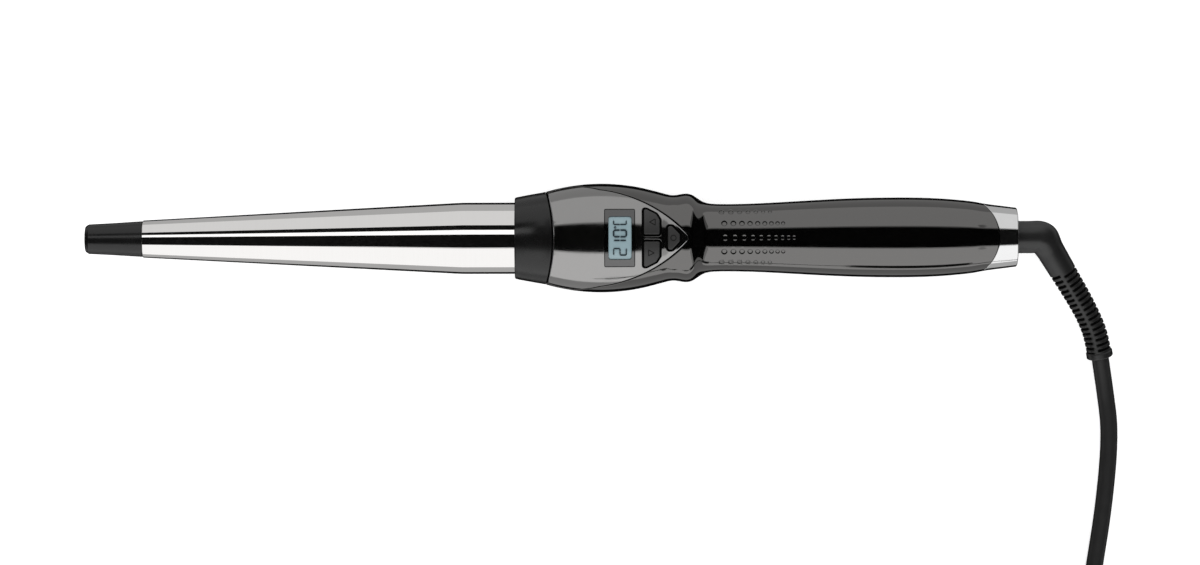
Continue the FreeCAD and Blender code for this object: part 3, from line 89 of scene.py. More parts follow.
# ---- materials ----
def finish(name, colour, rough, metal=0.0, vary=0.05, tint=0.06, scale=400.0, bump=0.0, reach=0.00002,
           stretch=(1, 1, 1), coat=0.0, coat_rough=0.03, sheen=0.0, specular=0.5, glow=0.0,
           weave=0.0):
    """A procedural finish: uneven colour, uneven gloss and a fine relief, all in object space."""
    material = bpy.data.materials.new(name)
    material.use_nodes = True
    nodes, links = material.node_tree.nodes, material.node_tree.links
    shader = nodes["Principled BSDF"]
    shader.inputs["Metallic"].default_value = metal
    shader.inputs["Coat Weight"].default_value = coat
    shader.inputs["Coat Roughness"].default_value = coat_rough
    shader.inputs["Sheen Weight"].default_value = sheen
    shader.inputs["Specular IOR Level"].default_value = specular
    place = nodes.new("ShaderNodeTexCoord")
    grid = nodes.new("ShaderNodeMapping")
    grid.inputs["Scale"].default_value = stretch
    links.new(place.outputs["Object"], grid.inputs["Vector"])
    fine = nodes.new("ShaderNodeTexNoise")
    fine.inputs["Scale"].default_value = scale
    fine.inputs["Detail"].default_value = 6
    links.new(grid.outputs["Vector"], fine.inputs["Vector"])
    broad = nodes.new("ShaderNodeTexNoise")
    broad.inputs["Scale"].default_value = scale / 14
    broad.inputs["Detail"].default_value = 3
    links.new(place.outputs["Object"], broad.inputs["Vector"])
    gloss = nodes.new("ShaderNodeMapRange")
    gloss.inputs["From Min"].default_value = 0.3
    gloss.inputs["From Max"].default_value = 0.7
    gloss.inputs["To Min"].default_value = max(0.0, rough - vary)
    gloss.inputs["To Max"].default_value = min(1.0, rough + vary)
    links.new(broad.outputs["Fac"], gloss.inputs["Value"])
    links.new(gloss.outputs["Result"], shader.inputs["Roughness"])
    shade = nodes.new("ShaderNodeMix")
    shade.data_type = "RGBA"
    low = [c * (1 - tint) for c in colour]
    high = [min(1.0, c * (1 + tint)) for c in colour]
    shade.inputs["A"].default_value = (*low, 1)
    shade.inputs["B"].default_value = (*high, 1)
    links.new(fine.outputs["Fac"], shade.inputs["Factor"])
    links.new(shade.outputs["Result"], shader.inputs["Base Color"])
    if glow:
        links.new(shade.outputs["Result"], shader.inputs["Emission Color"])
        shader.inputs["Emission Strength"].default_value = glow
    if bump:
        relief = nodes.new("ShaderNodeBump")
        relief.inputs["Strength"].default_value = bump
        relief.inputs["Distance"].default_value = reach
        height = fine.outputs["Fac"]
        if weave:
            threads = nodes.new("ShaderNodeTexWave")
            threads.inputs["Scale"].default_value = weave
            threads.inputs["Distortion"].default_value = 0.6
            links.new(grid.outputs["Vector"], threads.inputs["Vector"])
            height = threads.outputs["Fac"]
        links.new(height, relief.inputs["Height"])
        links.new(relief.outputs["Normal"], shader.inputs["Normal"])
    return material


def grey(level, warm=0.0):
    return (level * (1 + warm), level, level * (1 - warm))


FINISHES = {
    "chrome": finish("chrome_finish", grey(0.86), 0.07, metal=1, vary=0.03, tint=0.02, scale=900,
                     bump=0.05, stretch=(0.06, 1, 1)),
    "barrel_mirror": finish("barrel_finish", grey(0.88, 0.015), 0.035, metal=1, vary=0.02, tint=0.015,
                            scale=1500, bump=0.03, reach=0.00001, stretch=(1, 0.05, 0.05)),
    "aluminium": finish("aluminium_finish", grey(0.7), 0.35, metal=1, scale=1200, bump=0.3,
                        stretch=(0.1, 1, 1)),
    "black_matte": finish("black_matte_finish", grey(0.004), 0.25, vary=0.05, tint=0.25, scale=2600,
                          bump=0.2, reach=0.00003, specular=0.55),
    "shell_gloss": finish("shell_finish", grey(0.175, 0.02), 0.07, metal=1, vary=0.03, tint=0.04,
                          scale=2200, bump=0.03, reach=0.00001),
    "panel_satin": finish("panel_finish", grey(0.37, 0.012), 0.11, metal=1, vary=0.03, tint=0.03,
                          scale=2600, bump=0.04, reach=0.00001, stretch=(1, 0.3, 0.3)),
    "lens_dark": finish("lens_finish", grey(0.15), 0.09, metal=1, vary=0.03, tint=0.06, scale=1200,
                        bump=0.02),
    "lcd_glass": finish("lcd_finish", (0.23, 0.32, 0.35), 0.22, vary=0.04, tint=0.03, scale=5200,
                        bump=0.06, coat=0.6, coat_rough=0.05),
    "white_plastic": finish("white_plastic_finish", grey(0.78), 0.4, scale=900, bump=0.1),
    "key_grey": finish("key_finish", grey(0.026, 0.01), 0.34, vary=0.05, tint=0.12, scale=3400,
                       bump=0.2, reach=0.00002, specular=0.55),
    "board_green": finish("board_finish", (0.02, 0.14, 0.06), 0.35, scale=700, bump=0.2),
    "chip_black": finish("chip_finish", grey(0.02), 0.5, tint=0.2, scale=1800, bump=0.3),
    "capacitor_blue": finish("capacitor_finish", (0.03, 0.07, 0.25), 0.3, scale=600, bump=0.1),
    "steel": finish("steel_finish", grey(0.6), 0.25, metal=1, scale=1500, bump=0.2),
    "brass": finish("brass_finish", (0.78, 0.57, 0.24), 0.24, metal=1, scale=1500, bump=0.2),
    "ceramic": finish("ceramic_finish", grey(0.3, 0.05), 0.6, scale=1500, bump=0.3),
    "mica_sleeve": finish("mica_finish", (0.62, 0.5, 0.33), 0.35, tint=0.2, scale=500, bump=0.2),
    "heat_plastic": finish("heat_plastic_finish", grey(0.03), 0.5, tint=0.2, scale=1600, bump=0.3),
    "wire_white": finish("wire_white_finish", grey(0.75), 0.45, scale=1300, bump=0.15),
    "wire_red": finish("wire_red_finish", (0.5, 0.03, 0.02), 0.4, scale=1300, bump=0.15),
    "wire_blue": finish("wire_blue_finish", (0.02, 0.1, 0.45), 0.4, scale=1300, bump=0.15),
    "wire_brown": finish("wire_brown_finish", (0.16, 0.06, 0.02), 0.4, scale=1300, bump=0.15),
    "contact_rubber": finish("contact_rubber_finish", (0.55, 0.25, 0.2), 0.6, scale=1500, bump=0.2),
    "cord_black": finish("cord_finish", grey(0.014), 0.38, vary=0.05, tint=0.25, scale=3200, bump=0.4,
                         reach=0.00004, specular=0.5),
    "plug_black": finish("plug_finish", grey(0.014), 0.36, vary=0.06, tint=0.25, scale=2600, bump=0.45,
                         reach=0.00005),
}
boot_rubber = finish("boot_finish", grey(0.010), 0.34, vary=0.05, tint=0.2, scale=3000, bump=0.25,
                     reach=0.00003, specular=0.65, coat=0.1, coat_rough=0.4)
# Near-black, barely reflecting finish: painted shade in the boot's slots and in the keys' engraved signs.
slot_painted_shade = finish("slot_painted_shade_finish", grey(0.003), 0.6, tint=0.3, scale=2500, bump=0.3, specular=0.25)
# Lighter, rougher metal on the panel's rounded outline edge: a painted highlight along the rim.
panel_edge_painted_highlight = finish("panel_edge_painted_highlight_finish", grey(0.5), 0.3, metal=1, tint=0.03, scale=2600,
                           bump=0.04, reach=0.00001)
# Near-black, barely reflecting finish: painted shade on the walls of the seams round the panel and the
# shell, and on the sheet under the panel; the dark cards use the same black.
painted_gap_shade_black = finish("painted_gap_shade_black_finish", grey(0.004), 0.7, tint=0.3, scale=900, bump=0.2, specular=0.1)
digit_dark = finish("digit_finish", (0.02, 0.035, 0.045), 0.4, tint=0.2, scale=2000, bump=0.1)
strap_cloth = finish("strap_finish", grey(0.012), 0.8, tint=0.4, scale=1500, bump=0.8, reach=0.0001,
                     sheen=0.25, weave=700)

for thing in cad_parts.values():
    for place in thing.material_slots:
        found = place.material.name.split(".")[0] if place.material else ""
        place.material = FINISHES.get(found, FINISHES["black_matte"])


# ---- mesh tools ----
class Form:
    """Gathers surfaces with their true normals, then makes one piece of them.

    A mark is the place of a face's material among those that piece() gets.
    """

    def __init__(self):
        self.points, self.normals, self.faces, self.marks = [], [], [], []
        self.count = 0

    def add(self, points, normals, faces, mark=0):
        points = np.asarray(points, float).reshape(-1, 3)
        normals = np.asarray(normals, float).reshape(-1, 3)
        self.points.append(points)
        self.normals.append(normals / np.maximum(np.linalg.norm(normals, axis=1, keepdims=True), 1e-9))
        self.faces += [[self.count + i for i in face] for face in faces]
        self.marks += [mark] * len(faces)
        self.count += len(points)

    def sheet(self, rows, wrap=True, outward=None, mark=0, marks=None):
        """A grid of rows of points. outward is what the first row's normals face."""
        rows = np.asarray(rows, float)
        count, across = rows.shape[:2]
        along = np.gradient(rows, axis=0)
        if wrap:
            around = (np.roll(rows, -1, 1) - np.roll(rows, 1, 1)) / 2
        else:
            around = np.gradient(rows, axis=1)
        normals = np.cross(along, around)
        size = np.linalg.norm(normals, axis=2, keepdims=True)
        for k in range(count):
            if size[k].max() < 1e-7:
                normals[k] = normals[k + 1 if k + 1 < count else k - 1].mean(0)
        if outward is None:
            middle = rows.mean(1, keepdims=True)
            sign = np.sign(((rows - middle) * normals).sum())
        else:
            sign = np.sign((normals[0] * outward).sum())
        normals = normals * (sign or 1.0)
        faces = []
        last = across if wrap else across - 1
        for k in range(count - 1):
            for j in range(last):
                n = (j + 1) % across
                faces.append((k * across + j, k * across + n,
                              (k + 1) * across + n, (k + 1) * across + j))
        self.add(rows, normals, faces, mark)
        if marks is not None:
            marks = np.asarray(marks)[:count - 1, :last].reshape(-1)
            self.marks[-len(faces):] = [int(v) for v in marks]

    def cap(self, ring, normal, mark=0):
        """A flat face over a closed ring of points."""
        ring = np.asarray(ring, float)
        middle = ring.mean(0)
        points = np.vstack([ring, middle])
        faces = [(j, (j + 1) % len(ring), len(ring)) for j in range(len(ring))]
        self.add(points, np.tile(normal, (len(points), 1)), faces, mark)

    def piece(self, name, body, slot, replaced, *materials):
        """The finished piece; without materials it has its slot's own finish."""
        points = np.vstack(self.points) * MM
        normals = np.vstack(self.normals)
        corners = np.array([list(f) + [f[0]] * (4 - len(f)) for f in self.faces])
        a, b, c, d = (points[corners[:, k]] for k in range(4))
        flat = np.cross(b - a, c - a) + np.cross(c - a, d - a)
        lean = normals[corners[:, :3]].sum(1)
        back = (flat * lean).sum(1) < 0
        faces = [face[::-1] if turned else face for face, turned in zip(self.faces, back.tolist())]
        mesh = bpy.data.meshes.new(name)
        mesh.from_pydata(points.tolist(), [], faces)
        for material in materials or [FINISHES[slot]]:
            mesh.materials.append(material)
        mesh.polygons.foreach_set("material_index", self.marks)
        mesh.polygons.foreach_set("use_smooth", [True] * len(mesh.polygons))
        mesh.update()
        mesh.normals_split_custom_set_from_vertices(normals.tolist())
        thing = bpy.data.objects.new(name, mesh)
        bpy.context.collection.objects.link(thing)
        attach(thing, body)
        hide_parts(replaced)
        return thing


def spread(a, b, count):
    return np.linspace(a, b, count)


def round_edge(corner_from, corner, corner_to, radius, count=6):
    """Points of a profile's corner, rounded with the given radius."""
    a, b, c = (np.array(p, float) for p in (corner_from, corner, corner_to))
    u = (a - b) / np.linalg.norm(a - b)
    v = (c - b) / np.linalg.norm(c - b)
    half = 0.5 * math.acos(max(-1.0, min(1.0, float(u @ v))))
    reach = radius / math.tan(half)
    start, end = b + u * reach, b + v * reach
    centre = b + (u + v) / np.linalg.norm(u + v) * radius / math.sin(half)
    out = []
    for t in spread(0, 1, count):
        p = start * (1 - t) + end * t - centre
        out.append(tuple(centre + p / np.linalg.norm(p) * radius))
    return out


def soft_profile(corners, radii, fill=3.0):
    """A profile with its corners rounded and its long runs divided."""
    out = [tuple(corners[0])]
    for k in range(1, len(corners) - 1):
        if radii.get(k):
            out += round_edge(corners[k - 1], corners[k], corners[k + 1], radii[k])
        else:
            out.append(tuple(corners[k]))
    out.append(tuple(corners[-1]))
    dense = [out[0]]
    for a, b in zip(out, out[1:]):
        steps = max(1, int(math.dist(a, b) / fill))
        dense += [(a[0] + (b[0] - a[0]) * k / steps, a[1] + (b[1] - a[1]) * k / steps)
                  for k in range(1, steps + 1)]
    return dense


TURNS = np.arange(AROUND) * 2 * math.pi / AROUND


def ring_at(x, r):
    """Points round the wand's axis; x and r may each be one value, or one for every point."""
    return np.stack([x + 0 * TURNS, r * np.sin(TURNS), AXIS + r * np.cos(TURNS)], 1)


def turned_rows(profile):
    return [ring_at(x, r) for x, r in profile]


def pipe_ring(x, y, z, r, count):
    """Points round a line that lies along X."""
    return [(x, y + r * math.cos(2 * math.pi * j / count), z + r * math.sin(2 * math.pi * j / count))
            for j in range(count)]


def circle(x, y, radius, count):
    return [(x + radius * math.cos(a), y + radius * math.sin(a))
            for a in np.arange(count) * 2 * math.pi / count]


class Spline:
    """Natural cubic spline through knots."""

    def __init__(self, knots):
        self.x, self.y = (np.array(v, float) for v in zip(*knots))
        count = len(self.x)
        h = np.diff(self.x)
        matrix = np.eye(count)
        right = np.zeros(count)
        for k in range(1, count - 1):
            matrix[k, k - 1:k + 2] = (h[k - 1], 2 * (h[k - 1] + h[k]), h[k])
            right[k] = 6 * ((self.y[k + 1] - self.y[k]) / h[k]
                            - (self.y[k] - self.y[k - 1]) / h[k - 1])
        self.bend = np.linalg.solve(matrix, right)

    def __call__(self, x):
        x = np.asarray(x, float)
        k = np.clip(np.searchsorted(self.x, x) - 1, 0, len(self.x) - 2)
        h = self.x[k + 1] - self.x[k]
        a, b = (self.x[k + 1] - x) / h, (x - self.x[k]) / h
        return (a * self.y[k] + b * self.y[k + 1]
                + ((a ** 3 - a) * self.bend[k] + (b ** 3 - b) * self.bend[k + 1]) * h ** 2 / 6)


# ---- outer form of head and handle ----
BULB_ARC, BULB_X, BULB_DOWN = 69.0, 17.5, -49.95


def bulb(x):
    """Radius of the head, an arc along the wand."""
    return BULB_DOWN + math.sqrt(BULB_ARC ** 2 - (x - BULB_X) ** 2)


radius_at = Spline([(x, bulb(x)) for x in (-16, -8, 0, 9, 17.5, 26, 32, 36)] + [
    (39, 15.72), (41, 15.2), (43, 14.97), (45, 15.25), (47, 15.52), (48.5, 15.38), (50, 14.75),
    (51.5, 13.72), (53, 12.78), (55, 12.12), (58, 11.84), (63, 11.8), (70, 11.95), (80, 12.42),
    (90, 12.98), (100, 13.5), (110, 13.85), (120, 13.98), (130, 13.88), (138, 13.5), (144, 12.98),
    (148, 12.5), (152, 11.78), (157.5, 11.05), (163.5, 10.3), (168, 9.8)])
S_UNIT = 15.0    # s, the place round the form, is this times the angle from the top

# Grip marks are shallow dimples. A row: its y, the x of its first and last, and how many.
DIMPLE_ROWS = [(9.05, 59.5, 76.4, 7), (5.0, 60.4, 80.9, 9), (0.0, 60.7, 84.7, 10),
               (-4.85, 60.4, 80.9, 9), (-8.6, 59.5, 76.3, 7)]
DIMPLE_DEPTH, DIMPLE_FLAT = 0.27, 0.58
DIMPLE_RADIUS, DIMPLE_SHRINK, STEP_SHRINK = 1.15, 0.38, 0.055
dimples = []
for row_y, first, last, count in DIMPLE_ROWS:
    steps = np.array([1.0 - STEP_SHRINK * k for k in range(count - 1)])
    places = first + np.concatenate([[0], np.cumsum(steps)]) * (last - first) / steps.sum()
    for k, x in enumerate(places):
        size = DIMPLE_RADIUS - DIMPLE_SHRINK * k / (count - 1)
        dimples.append((x, S_UNIT * math.asin(row_y / float(radius_at(x))), size))


FLAT_SOFT = 0.35    # how softly the form's underside turns into its flat strip


def skin_point(x, s, lift, under=False, marked=True):
    """Points of the outer form; s runs round it from the top, or from underneath."""
    r = radius_at(x) + lift
    turn = s / S_UNIT
    if marked and not under:
        for dimple_x, dimple_s, size in dimples:
            off = np.sqrt((x - dimple_x) ** 2 + ((s - dimple_s) * r / S_UNIT) ** 2) / size
            fall = np.clip((off - DIMPLE_FLAT) / (1 - DIMPLE_FLAT), 0, 1)
            r = r - DIMPLE_DEPTH * size * (1 - fall * fall * (3 - 2 * fall))
    y, z = r * np.sin(turn), r * np.cos(turn)
    if under:
        z, y = -z, y
        level = -AXIS - np.minimum(lift, 0)
        gap = z - level
        z = level + 0.5 * (gap + np.sqrt(gap ** 2 + FLAT_SOFT ** 2))
    return np.stack([x, y, AXIS + z], -1)


def skin(points, lift=0.0, under=False, marked=False):
    """Points and normals of the outer form at plan points (x, s)."""
    points = np.asarray(points, float)
    x, s = points[:, 0], points[:, 1]
    h = 0.02
    at = skin_point(x, s, lift, under, marked)
    dx = skin_point(x + h, s, lift, under, marked) - skin_point(x - h, s, lift, under, marked)
    ds = skin_point(x, s + h, lift, under, marked) - skin_point(x, s - h, lift, under, marked)
    normal = np.cross(dx, ds)
    normal /= np.linalg.norm(normal, axis=1, keepdims=True)
    if not under:
        normal *= np.sign(((at - np.array([0, 0, AXIS])) * normal)[:, 1:].sum(1, keepdims=True))
    else:
        normal *= np.where(normal[:, 2:3] > 0.2, -1, 1)
        flip = (normal[:, 1] * at[:, 1] < 0) & (np.abs(normal[:, 2]) <= 0.2)
        normal[flip] *= -1
    return at, normal


def even(loop, step, closed=True):
    """A polyline with points at about equal steps; corners are kept."""
    out = []
    count = len(loop) if closed else len(loop) - 1
    for k in range(count):
        a, b = np.array(loop[k]), np.array(loop[(k + 1) % len(loop)])
        parts = max(1, int(round(np.linalg.norm(b - a) / step)))
        out += [a + (b - a) * j / parts for j in range(parts)]
    if not closed:
        out.append(np.array(loop[-1]))
    return np.array(out)


def area(loop):
    x, y = loop[:, 0], loop[:, 1]
    return 0.5 * float((x * np.roll(y, -1) - np.roll(x, -1) * y).sum())


def grown(loop, by):
    """A closed loop moved outward by a distance."""
    loop = np.asarray(loop, float)
    ahead, behind = np.roll(loop, -1, 0) - loop, loop - np.roll(loop, 1, 0)
    ahead /= np.maximum(np.linalg.norm(ahead, axis=1, keepdims=True), 1e-9)
    behind /= np.maximum(np.linalg.norm(behind, axis=1, keepdims=True), 1e-9)
    way = ahead + behind
    size = np.linalg.norm(way, axis=1, keepdims=True)
    way = way / np.maximum(size, 1e-9)
    out = np.stack([way[:, 1], -way[:, 0]], 1)
    if area(loop) < 0:
        out = -out
    stretch = np.clip(2 / np.maximum(size, 0.7), 1, 1.6)
    return loop + out * by * stretch


def inside(points, loop):
    hit = np.zeros(len(points), bool)
    x, y = points[:, 0], points[:, 1]
    for a, b in zip(loop, np.roll(loop, -1, 0)):
        if a[1] == b[1]:
            continue
        cross = (a[1] > y) != (b[1] > y)
        hit ^= cross & (x < (b[0] - a[0]) * (y - a[1]) / (b[1] - a[1]) + a[0])
    return hit


def clear_of(points, loops, gap):
    keep = np.ones(len(points), bool)
    edge = np.vstack(loops)
    for start in range(0, len(points), 2000):
        part = points[start:start + 2000]
        near = ((part[:, None] - edge[None]) ** 2).sum(2).min(1)
        keep[start:start + 2000] = near > gap ** 2
    return keep


def hexes(low, high, step):
    rows = []
    y, odd = low[1], False
    while y < high[1]:
        rows += [(x, y) for x in np.arange(low[0] + (step / 2 if odd else 0), high[0], step)]
        y += step * 0.866
        odd = not odd
    return np.array(rows)


def patch(form, outline, holes, step, lift=0.0, under=False, marked=False, extra=None, mark=0):
    """Fills a region of the outer form with small triangles; vertices have the form's normals."""
    outline = np.asarray(outline, float)
    loops = [outline] + [np.asarray(h, float) for h in holes]
    seeds = hexes(outline.min(0), outline.max(0), step)
    if extra is not None:
        seeds = np.vstack([seeds[clear_of(seeds, [extra], step * 0.5)], extra])
    seeds = seeds[inside(seeds, outline)]
    for hole in loops[1:]:
        seeds = seeds[~inside(seeds, hole)]
    seeds = seeds[clear_of(seeds, loops, step * 0.35)]
    points = np.vstack(loops + [seeds])
    edges, start = [], 0
    for loop in loops:
        edges += [(start + k, start + (k + 1) % len(loop)) for k in range(len(loop))]
        start += len(loop)
    flat, _, faces, *_ = delaunay_2d_cdt([Vector(p) for p in points], edges, [], 0, 1e-6)
    flat = np.array([tuple(p) for p in flat])
    faces = np.array([f for f in faces if len(f) == 3])
    middle = flat[faces].mean(1)
    keep = inside(middle, outline)
    for hole in loops[1:]:
        keep &= ~inside(middle, hole)
    at, normal = skin(flat, lift, under, marked)
    form.add(at, normal, [tuple(f) for f in faces[keep]], mark)


SHARP = 0.0001    # the edge of a wall that isn't rounded


def rounding(edge, top=0.0):
    """Steps outward and down over a rounded edge, as (outward, lift)."""
    return [(-edge * (1 - math.sin(a)), top - edge * (1 - math.cos(a)))
            for a in spread(0, math.pi / 2, 6)]


def rim(form, loop, edge, depth, side=1, under=False, mark=0, wall_mark=None):
    """The rounded edge and wall round a patch: side 1 for its outline, -1 for a hole in it."""
    steps = rounding(edge) + [(0.0, -depth)]
    rows = [skin(grown(loop, side * by), lift, under)[0] for by, lift in steps]
    outward = skin(grown(loop, -side * edge), 0.0, under)[1]
    if wall_mark is None:
        form.sheet(rows, outward=outward, mark=mark)
    else:
        form.sheet(rows[:-1], outward=outward, mark=mark)
        away = rows[2] - rows[0]
        form.sheet(rows[-2:], outward=away, mark=wall_mark)


def arc(a, b, radius, bulge, count):
    """Points on an arc from a to b; bulge 1 bows to the left of the way from a to b."""
    a, b = np.array(a, float), np.array(b, float)
    chord = b - a
    length = np.linalg.norm(chord)
    left = np.array([-chord[1], chord[0]]) / length
    centre = (a + b) / 2 - left * bulge * math.sqrt(radius ** 2 - length ** 2 / 4)
    start = math.atan2(*(a - centre)[::-1])
    end = math.atan2(*(b - centre)[::-1])
    turn = (end - start + math.pi) % (2 * math.pi) - math.pi
    return [centre + radius * np.array([math.cos(start + turn * t), math.sin(start + turn * t)])
            for t in spread(0, 1, count)]


def on_skin(points):
    """Plan points (x, y) as (x, s) on the outer form."""
    points = np.asarray(points, float)
    r = radius_at(points[:, 0])
    return np.stack([points[:, 0], S_UNIT * np.arcsin(np.clip(points[:, 1] / r, -1, 1))], 1)


# Both seams are arcs in plan: the x of the arc's top and its radius, or its centre and its radius.
FRONT_TOP, FRONT_ARC = 0.4, 58.8
REAR_CENTRE, REAR_ARC, REAR_HALF = 140.2, 16.2, 12.4
SEAM = 0.05


def front_seam(s):
    """Where the head meets the collar, at s round the form."""
    x = np.full_like(np.asarray(s, float), -0.5)
    for _ in range(4):
        y = radius_at(x) * np.sin(s / S_UNIT)
        x = FRONT_TOP - FRONT_ARC + np.sqrt(FRONT_ARC ** 2 - y ** 2)
    return x


def rear_seam(s):
    """Where the handle meets the end ring, at s round the form."""
    x = np.full_like(np.asarray(s, float), 155.0)
    for _ in range(8):
        y = radius_at(x) * np.sin(s / S_UNIT)
        x = REAR_CENTRE + np.sqrt(REAR_ARC ** 2 - np.minimum(np.abs(y), REAR_HALF) ** 2)
    return x


def softened(corners, radius, count=5):
    """A closed polygon with rounded corners."""
    out = []
    for k in range(len(corners)):
        out += round_edge(corners[k - 1], corners[k], corners[(k + 1) % len(corners)], radius, count)
    return np.array(out)


# ---- cool tip and barrel ----
front_x = barrel_low[0]
form = Form()
form.sheet(turned_rows(soft_profile(
    [(tip_x, 0.02), (tip_x, 4.4), (tip_x + 1.2, 5.2), (tip_x + 9, 5.58), (front_x - 0.1, 6.26),
     (front_x - 0.1, 5.6)], {1: 0.7, 2: 1.0, 4: 0.25}, 1.5)))
form.piece("cool_tip_skin", WAND, "black_matte", "cool_tip")

barrel_end = barrel_high[0]
barrel_r = 0.5 * (barrel_high[1] - barrel_low[1])
TAPER_END = -31.4
form = Form()
form.sheet(turned_rows(soft_profile(
    [(front_x + 0.6, 5.5), (front_x, 5.7), (front_x, 6.52), (TAPER_END, barrel_r), (barrel_end, barrel_r)],
    {1: 0.08, 2: 0.3, 3: 60.0}, 2.0)))
form.piece("barrel_skin", WAND, "barrel_mirror", "barrel")

# ---- collar ----
collar_radius = Spline([(-13.4, 14.05), (-12.2, 14.34), (-9.6, 14.88), (-7.5, 15.26), (-4.7, 15.75),
                        (-1.9, 16.28), (0.4, 16.88), (2.0, 17.25)])
COLLAR_BORE, COLLAR_EDGE, COLLAR_WALL, FLOOR_GAP = 12.8, 0.25, 1.6, 0.05
shoulder = collar_x + 0.75 + 0.3
seam = front_seam(S_UNIT * TURNS) - SEAM
rows = turned_rows(soft_profile(
    [(collar_x + 4, COLLAR_BORE), (collar_x, COLLAR_BORE), (collar_x, float(collar_radius(collar_x))),
     (shoulder, float(collar_radius(shoulder)))], {1: 0.3, 2: 0.55}, 1.0))
for t in spread(0.06, 1, 26):
    x = shoulder * (1 - t) + (seam - COLLAR_EDGE) * t
    rows.append(ring_at(x, collar_radius(x)))
for a in spread(0.3, math.pi / 2, 5):
    x = seam - COLLAR_EDGE * (1 - math.sin(a))
    rows.append(ring_at(x, collar_radius(x) - COLLAR_EDGE * (1 - math.cos(a))))
rows.append(ring_at(seam, collar_radius(seam) - COLLAR_WALL))
rows = np.array(rows)
rows[:, :, 2] = np.maximum(rows[:, :, 2], FLOOR_GAP)
form = Form()
form.sheet(rows)
form.piece("collar_skin", WAND, "black_matte", "collar")

# ---- head panel ----
flank_start, flank_side, flank_nose = (-4, 14.6), (16.9, 17.1), (47.3, 1.9)
FLANK_FRONT_ARC, FLANK_REAR_ARC, NOSE_ARC = 29, 50, 2.4
half_flank = (arc(flank_start, flank_side, FLANK_FRONT_ARC, 1, 40)[:-1]
              + arc(flank_side, flank_nose, FLANK_REAR_ARC, 1, 60))
nose = arc(flank_nose, (flank_nose[0], -flank_nose[1]), NOSE_ARC, 1, 17)
flank = np.array(half_flank[:-1] + nose[:-1] + [(x, -y) for x, y in half_flank[::-1]])
flank = on_skin(flank)
flank = flank[flank[:, 0] > front_seam(flank[:, 1]) + 0.15]


def head_front_line(from_s, to_s, step=0.45):
    """The front edge of the head, between two places round it."""
    s = spread(from_s, to_s, max(2, int(abs(to_s - from_s) / step)))
    return np.stack([front_seam(s) + SEAM, s], 1)


panel_edge = np.vstack([even(flank, 0.4, closed=False),
                        head_front_line(flank[-1, 1] + 0.1, flank[0, 1] - 0.1)])
if area(panel_edge) < 0:
    panel_edge = panel_edge[::-1]

# plans of the window, the keys and their holes, in x and y
window_plan = softened([(18.7, -9.95), (29.1, -9.95), (29.1, 9.95), (18.7, 9.95)], 0.35)
key_corners = [(32.35, 1.25), (37.8, 1.25), (37.8, 6.3), (36.6, 8.2), (33.3, 9.9), (32.35, 9.9)]
power_corners = [(40.7, -4.05), (42.1, -4.05), (44.8, -1.2), (44.8, 1.2), (42.1, 4.05), (40.7, 4.05)]
up_plan = softened(key_corners, 0.55)
down_plan = softened([(x, -y) for x, y in key_corners[::-1]], 0.55)
power_plan = softened(power_corners, 0.75)
window_loop = even(on_skin(even(window_plan, 0.3)), 0.3)
key_loops = {name: even(on_skin(even(plan, 0.2)), 0.2)
             for name, plan in (("up_key", up_plan), ("down_key", down_plan), ("power_key", power_plan))}
PANEL_GAP, PANEL_EDGE, PANEL_DEEP, HOLE_EDGE = 0.4, 0.32, 1.0, 0.14
WINDOW_GAP, KEY_GAP = 0.1, 0.7
panel_loop = grown(panel_edge, -PANEL_GAP)
hole_loops = [grown(window_loop, WINDOW_GAP)] + [grown(loop, KEY_GAP) for loop in key_loops.values()]
form = Form()
patch(form, grown(panel_loop, -PANEL_EDGE), [grown(loop, HOLE_EDGE) for loop in hole_loops], 0.75)
# The panel's rounded outline edge takes the lighter finish, a painted highlight; its wall and the walls of
# the holes take the near-black finish, painted shade in the seams.
rim(form, panel_loop, PANEL_EDGE, PANEL_DEEP, mark=2, wall_mark=1)
for loop in hole_loops:
    rim(form, loop, HOLE_EDGE, PANEL_DEEP, side=-1, wall_mark=1)
form.piece("panel_skin", WAND, "panel_satin", "top_panel", FINISHES["panel_satin"], painted_gap_shade_black,
           panel_edge_painted_highlight)

# ---- shells ----
SIDE = S_UNIT * math.pi / 2 - 0.03    # s of the seam between the two shells
SHELL_EDGE = 0.16
WELL_RADIUS, WELL_EDGE, WELL_DEEP = 2.2, 0.2, 7.5
joint = even(flank, 0.35, closed=False)
side_x = spread(float(front_seam(np.array([SIDE]))[0]) + SEAM,
                float(rear_seam(np.array([SIDE]))[0]) - SEAM, 240)
rear_s = spread(-SIDE, SIDE, 80)
side_s = np.full(len(side_x) - 1, SIDE)
sides_and_rear = [np.stack([side_x[:-1], -side_s], 1), np.stack([rear_seam(rear_s) - SEAM, rear_s], 1)[:-1],
                  np.stack([side_x[::-1][:-1], side_s], 1)]


def neck_seeds(step):
    """More vertices where the form narrows behind the head."""
    return [(x, s) for x in np.arange(39.0, 60.0, 0.42) for s in np.arange(-SIDE + 0.3, SIDE, step)]


outline = np.vstack(sides_and_rear + [head_front_line(SIDE, flank[0, 1] + 0.1)[:-1], joint,
                                      head_front_line(flank[-1, 1] - 0.1, -SIDE)[:-1]])
extra = neck_seeds(0.55)
for dimple_x, dimple_s, size in dimples:
    extra.append((dimple_x, dimple_s))
    for reach in (0.25, 0.48, 0.6, 0.7, 0.8, 0.9, 1.02):
        count = max(6, int(26 * reach))
        extra += [(dimple_x + reach * size * math.cos(a), dimple_s + reach * size * math.sin(a) * 1.2)
                  for a in np.arange(count) * 2 * math.pi / count]
form = Form()
patch(form, grown(outline, -SHELL_EDGE), [], 0.8, marked=True, extra=np.array(extra))
